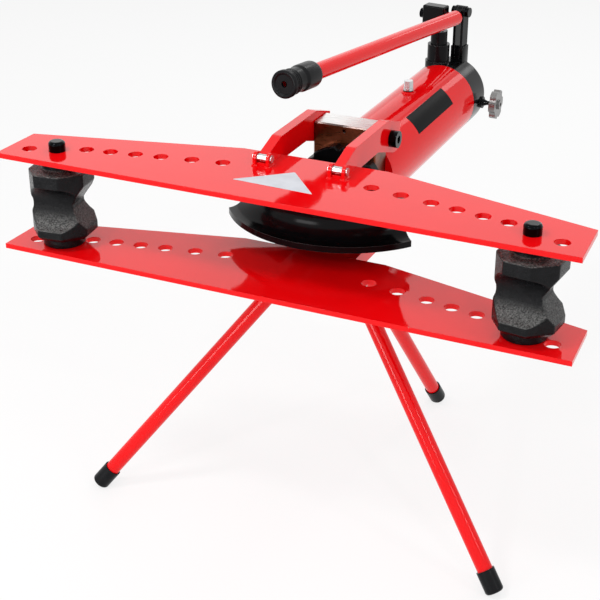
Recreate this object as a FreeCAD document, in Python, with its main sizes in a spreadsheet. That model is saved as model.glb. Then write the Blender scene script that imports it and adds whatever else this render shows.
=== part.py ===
"""Hydraulic pipe bending machine, in millimetres.

The sizes are laid out in a machine frame: X to the right, Y to the rear from the front edge of
the wing plates, Z up from the ram axis. Each piece is then placed so that the origin lies on the
floor under the middle of the machine.
"""
import FreeCAD, Part
import Sketcher
import math
import os

Vector = FreeCAD.Vector
Rotation = FreeCAD.Rotation
Placement = FreeCAD.Placement

document = FreeCAD.newDocument("pipe_bender")
sheet = document.addObject("Spreadsheet::Sheet", "Sizes")
size_names = []
pieces = {}


class Amount:
    """A number together with the sheet expression that gives it."""

    def __init__(self, value, text):
        self.value = float(value)
        self.text = text

    def __add__(self, other):
        other = amount(other)
        return Amount(self.value + other.value, "(%s + %s)" % (self.text, other.text))

    def __sub__(self, other):
        other = amount(other)
        return Amount(self.value - other.value, "(%s - %s)" % (self.text, other.text))

    def __mul__(self, other):
        other = amount(other)
        return Amount(self.value * other.value, "(%s * %s)" % (self.text, other.text))

    def __truediv__(self, other):
        other = amount(other)
        return Amount(self.value / other.value, "(%s / %s)" % (self.text, other.text))

    def __neg__(self):
        return amount(0) - self

    def __radd__(self, other):
        return amount(other) + self

    def __rsub__(self, other):
        return amount(other) - self

    def __rmul__(self, other):
        return amount(other) * self


def amount(number):
    """A plain number as an Amount; an Amount stays what it is."""
    if isinstance(number, Amount):
        return number
    return Amount(number, "(%r)" % float(number))


def sine(angle):
    return Amount(math.sin(math.radians(angle.value)), "sin(%s)" % angle.text)


def cosine(angle):
    return Amount(math.cos(math.radians(angle.value)), "cos(%s)" % angle.text)


def size(name, number):
    """A driving dimension: one row of the sheet with its name and its plain number."""
    size_names.append(name)
    row = len(size_names)
    sheet.set("A%d" % row, name)
    sheet.set("B%d" % row, str(number))
    sheet.setAlias("B%d" % row, name)
    return Amount(number, "Sizes." + name)


# Stance: the ram axis above the floor
axis_height = size("axis_height", 545)

# Wing plates: straight front edge, rear edge running out to narrow ends
plate_length = size("plate_length", 910)
plate_thickness = size("plate_thickness", 8)
plate_gap = size("plate_gap", 144)
plate_end_inset = size("plate_end_inset", 3.5)
plate_end_depth = size("plate_end_depth", 95.5)
plate_middle_width = size("plate_middle_width", 238)
plate_middle_depth = size("plate_middle_depth", 176)

# Pin stations: eight holes a side, the outer two stepping forwards
station_radius = size("station_radius", 11.5)
station_one = size("station_one", 418.5)
station_two = size("station_two", 375)
station_three = size("station_three", 336)
station_four = size("station_four", 297.5)
station_five = size("station_five", 257.5)
station_six = size("station_six", 217)
station_seven = size("station_seven", 168.5)
station_eight = size("station_eight", 120)
station_one_depth = size("station_one_depth", 36)
station_two_depth = size("station_two_depth", 47)
station_three_depth = size("station_three_depth", 69)
station_slope = size("station_slope", 0.176)

# Fits: a sliding fit, a seat that is not clamped, and a clamped bolt in its hole
running_gap = size("running_gap", 0.05)
seat_gap = size("seat_gap", 0.3)
bolt_gap = size("bolt_gap", 0.1)

# Head block
block_width = size("block_width", 106)
block_front = size("block_front", 290)
block_depth = size("block_depth", 48)
block_height = size("block_height", 194)
block_chamfer = size("block_chamfer", 2)
block_wall = size("block_wall", 10)
bleed_hole_radius = size("bleed_hole_radius", 3)
bleed_hole_depth = size("bleed_hole_depth", 12)
bleed_hole_height = size("bleed_hole_height", 88)

# Arms between plates and block
arm_thickness = size("arm_thickness", 16)
arm_rise = size("arm_rise", 31)
arm_drop = size("arm_drop", 7)
arm_crest = size("arm_crest", 172)
arm_shoulder = size("arm_shoulder", 302)
arm_belly = size("arm_belly", 262)
arm_heel = size("arm_heel", 331)
arm_heel_height = size("arm_heel_height", 50)
arm_tail = size("arm_tail", 355)
arm_tail_height = size("arm_tail_height", 94)
arm_corner = size("arm_corner", 10)
arm_round = size("arm_round", 18)
arm_edge = size("arm_edge", 1.5)

# Cross pins that hinge the upper plate to the arm tips, and their ears
hinge_pin_depth = size("hinge_pin_depth", 124)
hinge_pin_height = size("hinge_pin_height", 11)
hinge_pin_radius = size("hinge_pin_radius", 6)
hinge_pin_overhang = size("hinge_pin_overhang", 2)
lug_radius = size("lug_radius", 9)
lug_thickness = size("lug_thickness", 5)

# Socket head bolts through the arms
arm_bolt_depth = size("arm_bolt_depth", 316)
arm_bolt_height = size("arm_bolt_height", 78)
arm_bolt_radius = size("arm_bolt_radius", 8)
arm_bolt_reach = size("arm_bolt_reach", 20)
arm_bolt_head_radius = size("arm_bolt_head_radius", 13.5)
arm_bolt_head = size("arm_bolt_head", 13)
arm_bolt_socket = size("arm_bolt_socket", 7)

# Hydraulic cylinder and ram
cylinder_outer = size("cylinder_outer", 33)
cylinder_bore = size("cylinder_bore", 25)
rod_radius = size("rod_radius", 19)
bush_length = size("bush_length", 40)
wiper_depth = size("wiper_depth", 7)
wiper_lip = size("wiper_lip", 3)
piston_front = size("piston_front", 700)
piston_length = size("piston_length", 34)
piston_stud_radius = size("piston_stud_radius", 11)
piston_stud_length = size("piston_stud_length", 28)
seal_width = size("seal_width", 8)
seal_depth = size("seal_depth", 4)
nose_front = size("nose_front", 222)
nose_seat = size("nose_seat", 250)
nose_rear = size("nose_rear", 274)
nose_socket = size("nose_socket", 12)
nose_collar_radius = size("nose_collar_radius", 27)
nose_pin_radius = size("nose_pin_radius", 14)
spring_wire = size("spring_wire", 2)
spring_radius = size("spring_radius", 22)
spring_turns = size("spring_turns", 10)

# Bending die: a quarter disc with a pipe groove round its front
die_radius = size("die_radius", 192)
die_front = size("die_front", 110)
die_half_span = size("die_half_span", 155)
die_thickness = size("die_thickness", 80)
die_tip = size("die_tip", 16)
die_hub_width = size("die_hub_width", 100)
die_hub_length = size("die_hub_length", 48)
die_hub_height = size("die_hub_height", 96)
die_web_thickness = size("die_web_thickness", 44)
die_rim = size("die_rim", 52)
pipe_radius = size("pipe_radius", 30)

# Oil reservoir
tank_radius = size("tank_radius", 66.5)
tank_wall = size("tank_wall", 4)
tank_rear = size("tank_rear", 752)
tank_cap = size("tank_cap", 8)
spigot_length = size("spigot_length", 10)
seal_ring_width = size("seal_ring_width", 3.5)
seal_ring_depth = size("seal_ring_depth", 3)
filler_depth = size("filler_depth", 577)
filler_stem_radius = size("filler_stem_radius", 6)
filler_boss_radius = size("filler_boss_radius", 10)
filler_boss_height = size("filler_boss_height", 3)
filler_washer_thickness = size("filler_washer_thickness", 1.5)
filler_head_radius = size("filler_head_radius", 8.5)
filler_head_height = size("filler_head_height", 17)
filler_collar = size("filler_collar", 4)
filler_stem_length = size("filler_stem_length", 14)

# Pump at the rear of the tank, with its linkage turned a little to the left
pump_depth = size("pump_depth", 70)
pump_round = size("pump_round", 9)
pump_side = size("pump_side", 17)
pump_line = size("pump_line", 780)
pump_turn = size("pump_turn", 7)
pump_boss_radius = size("pump_boss_radius", 24)
pump_boss_top = size("pump_boss_top", 68)
barrel_radius = size("barrel_radius", 20.5)
barrel_top = size("barrel_top", 99)
barrel_stub_radius = size("barrel_stub_radius", 15)
barrel_bottom = size("barrel_bottom", 22)
gland_radius = size("gland_radius", 15.5)
gland_height = size("gland_height", 25)
gland_spigot_radius = size("gland_spigot_radius", 12)
gland_spigot_length = size("gland_spigot_length", 10)
plunger_seal_height = size("plunger_seal_height", 4)
plunger_radius = size("plunger_radius", 8)
plunger_bottom = size("plunger_bottom", 32)
plunger_chamfer = size("plunger_chamfer", 1)
plunger_head_bottom = size("plunger_head_bottom", 131)
plunger_head_top = size("plunger_head_top", 170)
plunger_head_left = size("plunger_head_left", 31)
plunger_head_depth = size("plunger_head_depth", 24)
plunger_socket = size("plunger_socket", 11)
chamber_radius = size("chamber_radius", 6)
chamber_bottom = size("chamber_bottom", 2)
ball_radius = size("ball_radius", 4.5)
delivery_height = size("delivery_height", 12)
delivery_length = size("delivery_length", 18)
passage_radius = size("passage_radius", 3)
check_spring_radius = size("check_spring_radius", 5.5)
check_spring_wall = size("check_spring_wall", 1.2)

# Lever linkage: plunger pin, fulcrum on two straps, lug on the pump body
lever_side = size("lever_side", 27)
pin_spacing = size("pin_spacing", 34.3)
pin_rise = size("pin_rise", 3.4)
plunger_pin_height = size("plunger_pin_height", 152)
linkage_pin_radius = size("linkage_pin_radius", 6)
eye_play = size("eye_play", 0.5)
eye_travel = size("eye_travel", 4.6)
link_foot_height = size("link_foot_height", 80)
link_half_width = size("link_half_width", 11)
link_thickness = size("link_thickness", 5)
tongue_half = size("tongue_half", 4.8)
tongue_gap = size("tongue_gap", 0.2)
lug_half_width = size("lug_half_width", 10)
pin_head_radius = size("pin_head_radius", 9)
pin_head_length = size("pin_head_length", 7)
rivet_head = size("rivet_head", 2)

# Lever, seen from its fulcrum
lever_tilt = size("lever_tilt", 3.3)
lever_drop = size("lever_drop", 7.9)
lever_radius = size("lever_radius", 13.5)
lever_wall = size("lever_wall", 3)
lever_start = size("lever_start", 17)
lever_reach = size("lever_reach", 620)
lever_round = size("lever_round", 9)
lever_end_wall = size("lever_end_wall", 5)
tongue_length = size("tongue_length", 72)
grip_length = size("grip_length", 108)
grip_end_wall = size("grip_end_wall", 8)
grip_radius = size("grip_radius", 19)
grip_flange_radius = size("grip_flange_radius", 21.5)
grip_flange_length = size("grip_flange_length", 10)
grip_groove_depth = size("grip_groove_depth", 2)
grip_hole_radius = size("grip_hole_radius", 5)

# Release valve on the right of the pump body
release_line = size("release_line", 800)
release_drop = size("release_drop", 10)
release_boss_radius = size("release_boss_radius", 11)
release_boss_reach = size("release_boss_reach", 70)
release_radius = size("release_radius", 5)
release_needle = size("release_needle", 18)
release_neck_radius = size("release_neck_radius", 4)
release_cone = size("release_cone", 8)
knob_start = size("knob_start", 88)
knob_thickness = size("knob_thickness", 12)
knob_radius = size("knob_radius", 27)
knob_hub_radius = size("knob_hub_radius", 9)
knob_lobes = size("knob_lobes", 6)
knob_scallop_radius = size("knob_scallop_radius", 8)

# Support shoes on the pins
shoe_half_length = size("shoe_half_length", 37)
shoe_face = size("shoe_face", 60)
shoe_back = size("shoe_back", 24)
shoe_top = size("shoe_top", 54)
shoe_bottom = size("shoe_bottom", 56)
shoe_boss_radius = size("shoe_boss_radius", 25)
shoe_corner = size("shoe_corner", 10)
shoe_foot_chamfer = size("shoe_foot_chamfer", 8)
shoe_groove_radius = size("shoe_groove_radius", 34)
shoe_groove_depth = size("shoe_groove_depth", 27)
shoe_waist_radius = size("shoe_waist_radius", 45)
shoe_waist_depth = size("shoe_waist_depth", 15)
shoe_back_radius = size("shoe_back_radius", 60)
shoe_back_depth = size("shoe_back_depth", 6)
shoe_turn = size("shoe_turn", 38.3)
pin_radius = size("pin_radius", 11)
pin_foot = size("pin_foot", 14)
pin_cap_radius = size("pin_cap_radius", 13)
pin_cap_height = size("pin_cap_height", 16)
pin_cap_round = size("pin_cap_round", 5)

# Tripod
leg_radius = size("leg_radius", 12.7)
leg_wall = size("leg_wall", 2)
front_foot_side = size("front_foot_side", 363)
front_foot_depth = size("front_foot_depth", 65.5)
rear_foot_side = size("rear_foot_side", 80.7)
rear_foot_depth = size("rear_foot_depth", 592.7)
front_socket_side = size("front_socket_side", 30)
front_socket_depth = size("front_socket_depth", 224.3)
rear_socket_side = size("rear_socket_side", 2.8)
rear_socket_depth = size("rear_socket_depth", 293.7)
bracket_thickness = size("bracket_thickness", 8)
bracket_half_width = size("bracket_half_width", 48)
bracket_front = size("bracket_front", 204)
bracket_rear = size("bracket_rear", 335)
socket_radius = size("socket_radius", 16)
socket_length = size("socket_length", 46)
bracket_screw_side = size("bracket_screw_side", 40)
bracket_screw_front = size("bracket_screw_front", 298)
bracket_screw_rear = size("bracket_screw_rear", 330)
bracket_screw_radius = size("bracket_screw_radius", 4)
bracket_screw_head_radius = size("bracket_screw_head_radius", 6.5)
bracket_screw_head = size("bracket_screw_head", 8)
bracket_screw_reach = size("bracket_screw_reach", 14)
cap_radius = size("cap_radius", 15)
cap_length = size("cap_length", 38)
cap_floor = size("cap_floor", 6)
cap_round = size("cap_round", 5)
cap_flat = size("cap_flat", 2)

# Places worked out from the sizes above
zero = amount(0)
plate_top = plate_gap / 2 + plate_thickness
block_rear = block_front + block_depth
block_half = block_width / 2
block_foot = -block_height / 2
arm_side = block_half + arm_thickness / 2
hinge_pin_level = plate_top + hinge_pin_height
cylinder_front = block_front + block_wall
tank_front = block_rear + tank_cap
tank_bore = tank_radius - tank_wall
pump_rear = tank_rear + pump_depth
front_line = -(release_line + knob_radius) / 2
fulcrum_height = plunger_pin_height + pin_rise
floor = -axis_height


def bind(item, path, value):
    """Ties a property of an object to the sheet."""
    item.setExpression(path, amount(value).text)


def move(item, x, y, z):
    """Ties an object's place to the sheet."""
    bind(item, ".Placement.Base.x", x)
    bind(item, ".Placement.Base.y", y)
    bind(item, ".Placement.Base.z", z)


def keep(item, name, x=0, y=0, z=0, turn=None):
    """Names a finished piece and moves it from the machine frame to the floor frame."""
    item.Label = name
    if turn is not None:
        item.Placement = Placement(Vector(), turn)
    move(item, amount(x), amount(y) + front_line, amount(z) + axis_height)
    pieces[name] = item
    return item


def box(name, x, y, z):
    """A block between two values on each axis."""
    item = document.addObject("Part::Box", name)
    bind(item, "Length", amount(x[1]) - x[0])
    bind(item, "Width", amount(y[1]) - y[0])
    bind(item, "Height", amount(z[1]) - z[0])
    move(item, x[0], y[0], z[0])
    return item


AXIS_TURNS = {
    "X": Rotation(Vector(0, 1, 0), 90),
    "Y": Rotation(Vector(1, 0, 0), -90),
    "Z": Rotation(),
}


def rod(name, axis, radius, start, end, across):
    """A round bar along an axis from start to end; across holds its other two coordinates."""
    item = document.addObject("Part::Cylinder", name)
    bind(item, "Radius", radius)
    bind(item, "Height", amount(end) - start)
    item.Placement = Placement(Vector(), AXIS_TURNS[axis])
    place = list(across)
    place.insert("XYZ".index(axis), start)
    move(item, *place)
    return item


def taper(name, axis, radii, start, end, across):
    """A cone along an axis, with its radius at either end."""
    item = document.addObject("Part::Cone", name)
    bind(item, "Radius1", radii[0])
    bind(item, "Radius2", radii[1])
    bind(item, "Height", amount(end) - start)
    item.Placement = Placement(Vector(), AXIS_TURNS[axis])
    place = list(across)
    place.insert("XYZ".index(axis), start)
    move(item, *place)
    return item


def joined(name, shapes):
    item = document.addObject("Part::MultiFuse", name)
    item.Shapes = shapes
    item.Refine = True
    return item


def cut(name, base, tools):
    item = document.addObject("Part::Cut", name)
    item.Base = base
    item.Tool = tools[0] if len(tools) == 1 else joined(name + "_tools", tools)
    return item


def group(name, shapes):
    """Separate solids that share one node."""
    item = document.addObject("Part::Compound", name)
    item.Links = shapes
    return item


def ring(name, axis, radii, start, end, across):
    """A round bar with a bore; radii holds the bore and the outside."""
    outside = rod(name + "_outside", axis, radii[1], start, end, across)
    bore = rod(name + "_bore", axis, radii[0], start, end, across)
    return cut(name, outside, [bore])


def edges_where(shape, test):
    """Numbers of the edges whose middle point passes a test."""
    return [k for k, edge in enumerate(shape.Edges, 1) if test(edge)]


def edged(kind, name, base, width, test):
    """A Part fillet or chamfer on the chosen edges of a solid."""
    document.recompute()
    item = document.addObject("Part::" + kind, name)
    item.Base = base
    item.Edges = [(k, width.value, width.value) for k in edges_where(base.Shape, test)]
    return item


def near(first, second):
    return abs(first - amount(second).value) < 0.01


def new_body(name):
    return document.addObject("PartDesign::Body", name)


def sketch_on(body, plane, name, offset=None):
    """A sketch on one of the body's own origin planes, moved along its normal."""
    sketch = body.newObject("Sketcher::SketchObject", name)
    for feature in body.Origin.OriginFeatures:
        if feature.Role == plane:
            sketch.AttachmentSupport = [(feature, "")]
    sketch.MapMode = "FlatFace"
    if offset is not None:
        bind(sketch, ".AttachmentOffset.Base.z", offset)
    return sketch


def constrain(sketch, kind, first, point, value):
    """A distance from the sketch's origin to a point, tied to the sheet."""
    number = sketch.addConstraint(Sketcher.Constraint(kind, -1, 1, first, point, value.value))
    sketch.setExpression("Constraints[%d]" % number, value.text)


def arc_edge(start, end, radius):
    """An arc of under half a circle; a positive radius bulges to the right of the way."""
    half = (end - start).Length / 2
    rise = math.sqrt(radius ** 2 - half ** 2)
    left = Vector(start.y - end.y, end.x - start.x, 0).normalize()
    centre = (start + end) / 2 + left * math.copysign(rise, radius)
    first, last = (start, end) if radius > 0 else (end, start)
    circle_edge = Part.Circle(centre, Vector(0, 0, 1), abs(radius))
    angles = [math.atan2(p.y - centre.y, p.x - centre.x) for p in (first, last)]
    return Part.ArcOfCircle(circle_edge, angles[0], angles[1])


def outline(sketch, corners, arcs=None):
    """A closed outline; arcs maps a corner's number to the radius of the side after it."""
    arcs = arcs or {}
    points = [Vector(amount(x).value, amount(y).value, 0) for x, y in corners]
    count = len(points)
    base = sketch.GeometryCount
    starts = []
    ends = []
    for k in range(count):
        after = points[(k + 1) % count]
        if k in arcs:
            radius = amount(arcs[k])
            sketch.addGeometry(arc_edge(points[k], after, radius.value), False)
            starts.append(1 if radius.value > 0 else 2)
            ends.append(2 if radius.value > 0 else 1)
        else:
            sketch.addGeometry(Part.LineSegment(points[k], after), False)
            starts.append(1)
            ends.append(2)
    for k in range(count):
        other = (k + 1) % count
        sketch.addConstraint(
            Sketcher.Constraint("Coincident", base + k, ends[k], base + other, starts[other]))
    for k, (x, y) in enumerate(corners):
        constrain(sketch, "DistanceX", base + k, starts[k], amount(x))
        constrain(sketch, "DistanceY", base + k, starts[k], amount(y))
    for k, radius in arcs.items():
        radius = amount(radius)
        number = sketch.addConstraint(Sketcher.Constraint("Radius", base + k, abs(radius.value)))
        sketch.setExpression("Constraints[%d]" % number, "abs(%s)" % radius.text)


def circle(sketch, x, y, radius):
    """A circle tied to the sheet by its centre and radius."""
    x, y, radius = amount(x), amount(y), amount(radius)
    centre = Vector(x.value, y.value, 0)
    geometry = sketch.addGeometry(Part.Circle(centre, Vector(0, 0, 1), radius.value), False)
    constrain(sketch, "DistanceX", geometry, 3, x)
    constrain(sketch, "DistanceY", geometry, 3, y)
    number = sketch.addConstraint(Sketcher.Constraint("Radius", geometry, radius.value))
    sketch.setExpression("Constraints[%d]" % number, radius.text)


def pad(body, sketch, length, both_ways=False):
    feature = body.newObject("PartDesign::Pad", sketch.Name + "_pad")
    feature.Profile = sketch
    bind(feature, "Length", length)
    feature.SideType = "Symmetric" if both_ways else "One side"
    return feature


def pocket_through(body, sketch):
    """Cuts a sketch right through the body, both ways from its plane."""
    feature = body.newObject("PartDesign::Pocket", sketch.Name + "_pocket")
    feature.Profile = sketch
    feature.Type = "ThroughAll"
    feature.SideType = "Symmetric"
    return feature


def pocket(body, sketch, depth, backwards=False):
    feature = body.newObject("PartDesign::Pocket", sketch.Name + "_pocket")
    feature.Profile = sketch
    bind(feature, "Length", depth)
    feature.Reversed = backwards
    return feature


def round_edges(body, kind, base, width, test):
    """A PartDesign fillet or chamfer on the chosen edges of the last feature."""
    document.recompute()
    feature = body.newObject("PartDesign::" + kind, "%s_%s" % (body.Name, kind.lower()))
    names = ["Edge%d" % k for k in edges_where(base.Shape, test)]
    feature.Base = (base, names)
    bind(feature, "Radius" if kind == "Fillet" else "Size", width)
    return feature


def turned(body, name, profile, axis="Z_Axis"):
    """A turned piece: an outline of radius and height, revolved about the body's axis."""
    sketch = sketch_on(body, "XZ_Plane", name)
    outline(sketch, profile)
    feature = body.newObject("PartDesign::Revolution", name + "_turned")
    feature.Profile = sketch
    for line in body.Origin.OriginFeatures:
        if line.Role == axis:
            feature.ReferenceAxis = (line, [""])
    feature.Angle = 360
    return feature


def station_places():
    """The eight holes on the right, as distances from the middle and from the front edge."""
    row = [station_three, station_four, station_five, station_six, station_seven, station_eight]
    places = [(station_one, station_one_depth), (station_two, station_two_depth)]
    for x in row:
        places.append((x, station_three_depth + (station_three - x) * station_slope))
    return places


def make_plate(name, bottom):
    body = new_body(name)
    blank = sketch_on(body, "XY_Plane", name + "_outline")
    end = plate_length / 2
    end_rear = end - plate_end_inset
    middle = plate_middle_width / 2
    outline(blank, [
        (-end, zero), (end, zero), (end_rear, plate_end_depth), (middle, plate_middle_depth),
        (-middle, plate_middle_depth), (-end_rear, plate_end_depth)])
    pad(body, blank, plate_thickness)
    holes = sketch_on(body, "XY_Plane", name + "_stations")
    for x, y in station_places():
        circle(holes, x, y, station_radius)
    drilled = pocket_through(body, holes)
    document.recompute()
    mirrored = body.newObject("PartDesign::Mirrored", name + "_mirrored")
    mirrored.Originals = [drilled]
    for plane in body.Origin.OriginFeatures:
        if plane.Role == "YZ_Plane":
            mirrored.MirrorPlane = (plane, [""])
    body.Tip = mirrored
    keep(body, name, z=bottom)


def make_plates():
    make_plate("upper_plate", plate_gap / 2)
    make_plate("lower_plate", -plate_top)


def drill_arm(body, height):
    """The bolt hole near the rear end of an arm."""
    sketch = sketch_on(body, "YZ_Plane", body.Name + "_bolt_hole")
    circle(sketch, arm_bolt_depth, height, arm_bolt_radius + bolt_gap)
    return pocket_through(body, sketch)


def make_upper_arm(name, side):
    """Bar with a raised crest, a stepped heel and an open jaw for the hinge pin at its tip."""
    body = new_body(name)
    profile = sketch_on(body, "YZ_Plane", name + "_profile")
    top = plate_top + arm_rise
    nose = hinge_pin_depth - hinge_pin_radius
    outline(profile, [
        (nose, plate_top), (plate_middle_depth, plate_top),
        (plate_middle_depth + seat_gap * 10, plate_top - arm_drop),
        (arm_belly, plate_top - arm_drop), (arm_heel, arm_heel_height),
        (arm_tail - arm_corner, arm_heel_height), (arm_tail, arm_heel_height + arm_corner),
        (arm_tail, arm_tail_height), (arm_shoulder, top), (arm_crest, top),
        (hinge_pin_depth + hinge_pin_radius / 2, hinge_pin_level + hinge_pin_radius),
        (nose, hinge_pin_level + hinge_pin_radius)])
    bar = pad(body, profile, arm_thickness, both_ways=True)
    crest = round_edges(body, "Fillet", bar, arm_round, lambda edge: (
        near(edge.CenterOfMass.z, top)
        and (near(edge.CenterOfMass.y, arm_crest) or near(edge.CenterOfMass.y, arm_shoulder))))
    seat = sketch_on(body, "YZ_Plane", name + "_seat")
    circle(seat, hinge_pin_depth, hinge_pin_level, hinge_pin_radius + bolt_gap)
    pocket_through(body, seat)
    mouth = sketch_on(body, "YZ_Plane", name + "_mouth")
    low = hinge_pin_level - hinge_pin_radius - bolt_gap
    high = hinge_pin_level + hinge_pin_radius * 2
    outline(mouth, [
        (nose - hinge_pin_radius, low), (hinge_pin_depth, low), (hinge_pin_depth, high),
        (nose - hinge_pin_radius, high)])
    pocket_through(body, mouth)
    drill_arm(body, arm_bolt_height)
    keep(body, name, x=arm_side * side)
    return crest


def make_lower_arm(name, side):
    """Plainer bar under the lower plate, flush with the foot of the block."""
    body = new_body(name)
    profile = sketch_on(body, "YZ_Plane", name + "_profile")
    nose = hinge_pin_depth - hinge_pin_radius
    outline(profile, [
        (nose, -plate_top), (nose + arm_corner, block_foot), (arm_tail - arm_corner, block_foot),
        (arm_tail, block_foot + arm_corner), (arm_tail, -arm_heel_height - arm_corner),
        (arm_tail - arm_corner, -arm_heel_height), (arm_heel, -arm_heel_height),
        (arm_belly, arm_drop - plate_top),
        (plate_middle_depth + seat_gap * 10, arm_drop - plate_top),
        (plate_middle_depth, -plate_top)])
    pad(body, profile, arm_thickness, both_ways=True)
    drill_arm(body, -arm_bolt_height)
    keep(body, name, x=arm_side * side)


def make_arms():
    for word, side in (("left", -1), ("right", 1)):
        make_upper_arm("upper_arm_" + word, side)
        make_lower_arm("lower_arm_" + word, side)


def make_hinges():
    """Ears on the upper plate on both sides of each arm tip, and the cross pins in them."""
    ears = []
    pins = []
    step = arm_thickness / 2 + seat_gap
    for side in (-1, 1):
        for flank in (-1, 1):
            name = "ear_%d" % (len(ears) + 1)
            middle = arm_side * side + (step + lug_thickness / 2) * flank
            flanks = (middle - lug_thickness / 2, middle + lug_thickness / 2)
            across = (hinge_pin_depth, hinge_pin_level)
            foot = box(name + "_foot", flanks,
                       (hinge_pin_depth - lug_radius, hinge_pin_depth + lug_radius),
                       (plate_top, hinge_pin_level))
            crown = rod(name + "_crown", "X", lug_radius, flanks[0], flanks[1], across)
            hole = rod(name + "_hole", "X", hinge_pin_radius + bolt_gap, flanks[0], flanks[1], across)
            ears.append(cut(name, joined(name + "_blank", [foot, crown]), [hole]))
        reach = step + lug_thickness + hinge_pin_overhang
        pins.append(rod("cross_pin_%d" % (len(pins) + 1), "X", hinge_pin_radius,
                        arm_side * side - reach, arm_side * side + reach,
                        (hinge_pin_depth, hinge_pin_level)))
    keep(group("ear_group", ears), "hinge_lugs")
    keep(group("cross_pin_group", pins), "hinge_pins")


def make_arm_bolts():
    """Socket head bolts through the four arms into the sides of the block."""
    bolts = []
    face = block_half + arm_thickness
    for side in (-1, 1):
        for level in (-1, 1):
            name = "arm_bolt_%d" % (len(bolts) + 1)
            across = (arm_bolt_depth, arm_bolt_height * level)
            ends = sorted([(block_half - arm_bolt_reach) * side, face * side],
                          key=lambda end: end.value)
            head_ends = sorted([face * side, (face + arm_bolt_head) * side],
                               key=lambda end: end.value)
            socket_ends = sorted([(face + arm_bolt_head / 2) * side, (face + arm_bolt_head) * side],
                                 key=lambda end: end.value)
            shank = rod(name + "_shank", "X", arm_bolt_radius, ends[0], ends[1], across)
            head = rod(name + "_head", "X", arm_bolt_head_radius, head_ends[0], head_ends[1], across)
            socket = document.addObject("Part::Prism", name + "_socket")
            socket.Polygon = 6
            bind(socket, "Circumradius", arm_bolt_socket)
            bind(socket, "Height", socket_ends[1] - socket_ends[0])
            socket.Placement = Placement(Vector(), AXIS_TURNS["X"])
            move(socket, socket_ends[0], *across)
            bolts.append(cut(name, joined(name + "_blank", [shank, head]), [socket]))
    keep(group("arm_bolt_group", bolts), "arm_bolts")


def make_block():
    """Steel block bored for the cylinder, with blind holes for arm bolts and bracket screws."""
    blank = box("block_blank", (-block_half, block_half), (block_front, block_rear),
                (block_foot, -block_foot))
    blank = edged("Chamfer", "block_chamfered", blank, block_chamfer, lambda edge: True)
    axis = (zero, zero)
    tools = [
        rod("block_cylinder_seat", "Y", cylinder_outer + running_gap, cylinder_front, block_rear, axis),
        rod("block_rod_hole", "Y", rod_radius + running_gap, block_front, cylinder_front, axis),
        rod("block_wiper_seat", "Y", cylinder_bore, block_front, block_front + wiper_depth, axis),
        rod("block_bleed_hole", "Y", bleed_hole_radius, block_front,
            block_front + bleed_hole_depth, (zero, bleed_hole_height)),
    ]
    for level in (-1, 1):
        across = (arm_bolt_depth, arm_bolt_height * level)
        inner = block_half - arm_bolt_reach - seat_gap
        radius = arm_bolt_radius + running_gap
        tools.append(rod("block_bolt_left_%d" % (level + 2), "X", radius, -block_half, -inner, across))
        tools.append(rod("block_bolt_right_%d" % (level + 2), "X", radius, inner, block_half, across))
    for x, y in bracket_screw_places():
        tools.append(rod("block_screw_%d" % len(tools), "Z", bracket_screw_radius + running_gap,
                         block_foot, block_foot + bracket_screw_reach + seat_gap, (x, y)))
    keep(cut("block", blank, tools), "head_block")


def make_cylinder():
    """Pressure tube, guide bush and wiper that the ram runs in."""
    axis = (zero, zero)
    tube = ring("pressure_tube", "Y", (cylinder_bore, cylinder_outer), cylinder_front, tank_rear, axis)
    keep(tube, "pressure_cylinder")
    slide = rod_radius + running_gap
    fit = cylinder_bore - running_gap
    bush = ring("bush", "Y", (slide, fit), cylinder_front, cylinder_front + bush_length, axis)
    keep(bush, "guide_bush")
    wiper = ring("wiper", "Y", (slide, fit), block_front - wiper_lip, block_front + wiper_depth, axis)
    keep(wiper, "rod_wiper")


def make_ram():
    """Rod with the piston screwed on behind and the nose that carries the die in front."""
    axis = (zero, zero)
    rod_front = nose_rear - nose_socket
    main = rod("rod_main", "Y", rod_radius, rod_front, piston_front, axis)
    stud = rod("rod_stud", "Y", piston_stud_radius, piston_front, piston_front + piston_stud_length, axis)
    keep(joined("rod_solid", [main, stud]), "ram_rod")

    fit = cylinder_bore - running_gap
    rear = piston_front + piston_length
    blank = rod("piston_blank", "Y", fit, piston_front, rear, axis)
    stud_hole = rod("piston_stud_hole", "Y", piston_stud_radius + running_gap, piston_front,
                    piston_front + piston_stud_length, axis)
    seal_start = piston_front + piston_length / 2 - seal_width / 2
    groove = ring("piston_groove", "Y", (cylinder_bore - seal_depth, cylinder_bore),
                  seal_start, seal_start + seal_width, axis)
    keep(cut("piston_solid", blank, [stud_hole, groove]), "piston")
    seal = ring("seal", "Y", (cylinder_bore - seal_depth + running_gap, fit),
                seal_start + bolt_gap, seal_start + seal_width - bolt_gap, axis)
    keep(seal, "piston_seal")

    collar = rod("nose_collar", "Y", nose_collar_radius, nose_seat, nose_rear, axis)
    pin = rod("nose_pin", "Y", nose_pin_radius, nose_front, nose_seat, axis)
    socket = rod("nose_socket_hole", "Y", rod_radius + running_gap, rod_front, nose_rear, axis)
    keep(cut("nose", joined("nose_blank", [collar, pin]), [socket]), "ram_nose")


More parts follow.
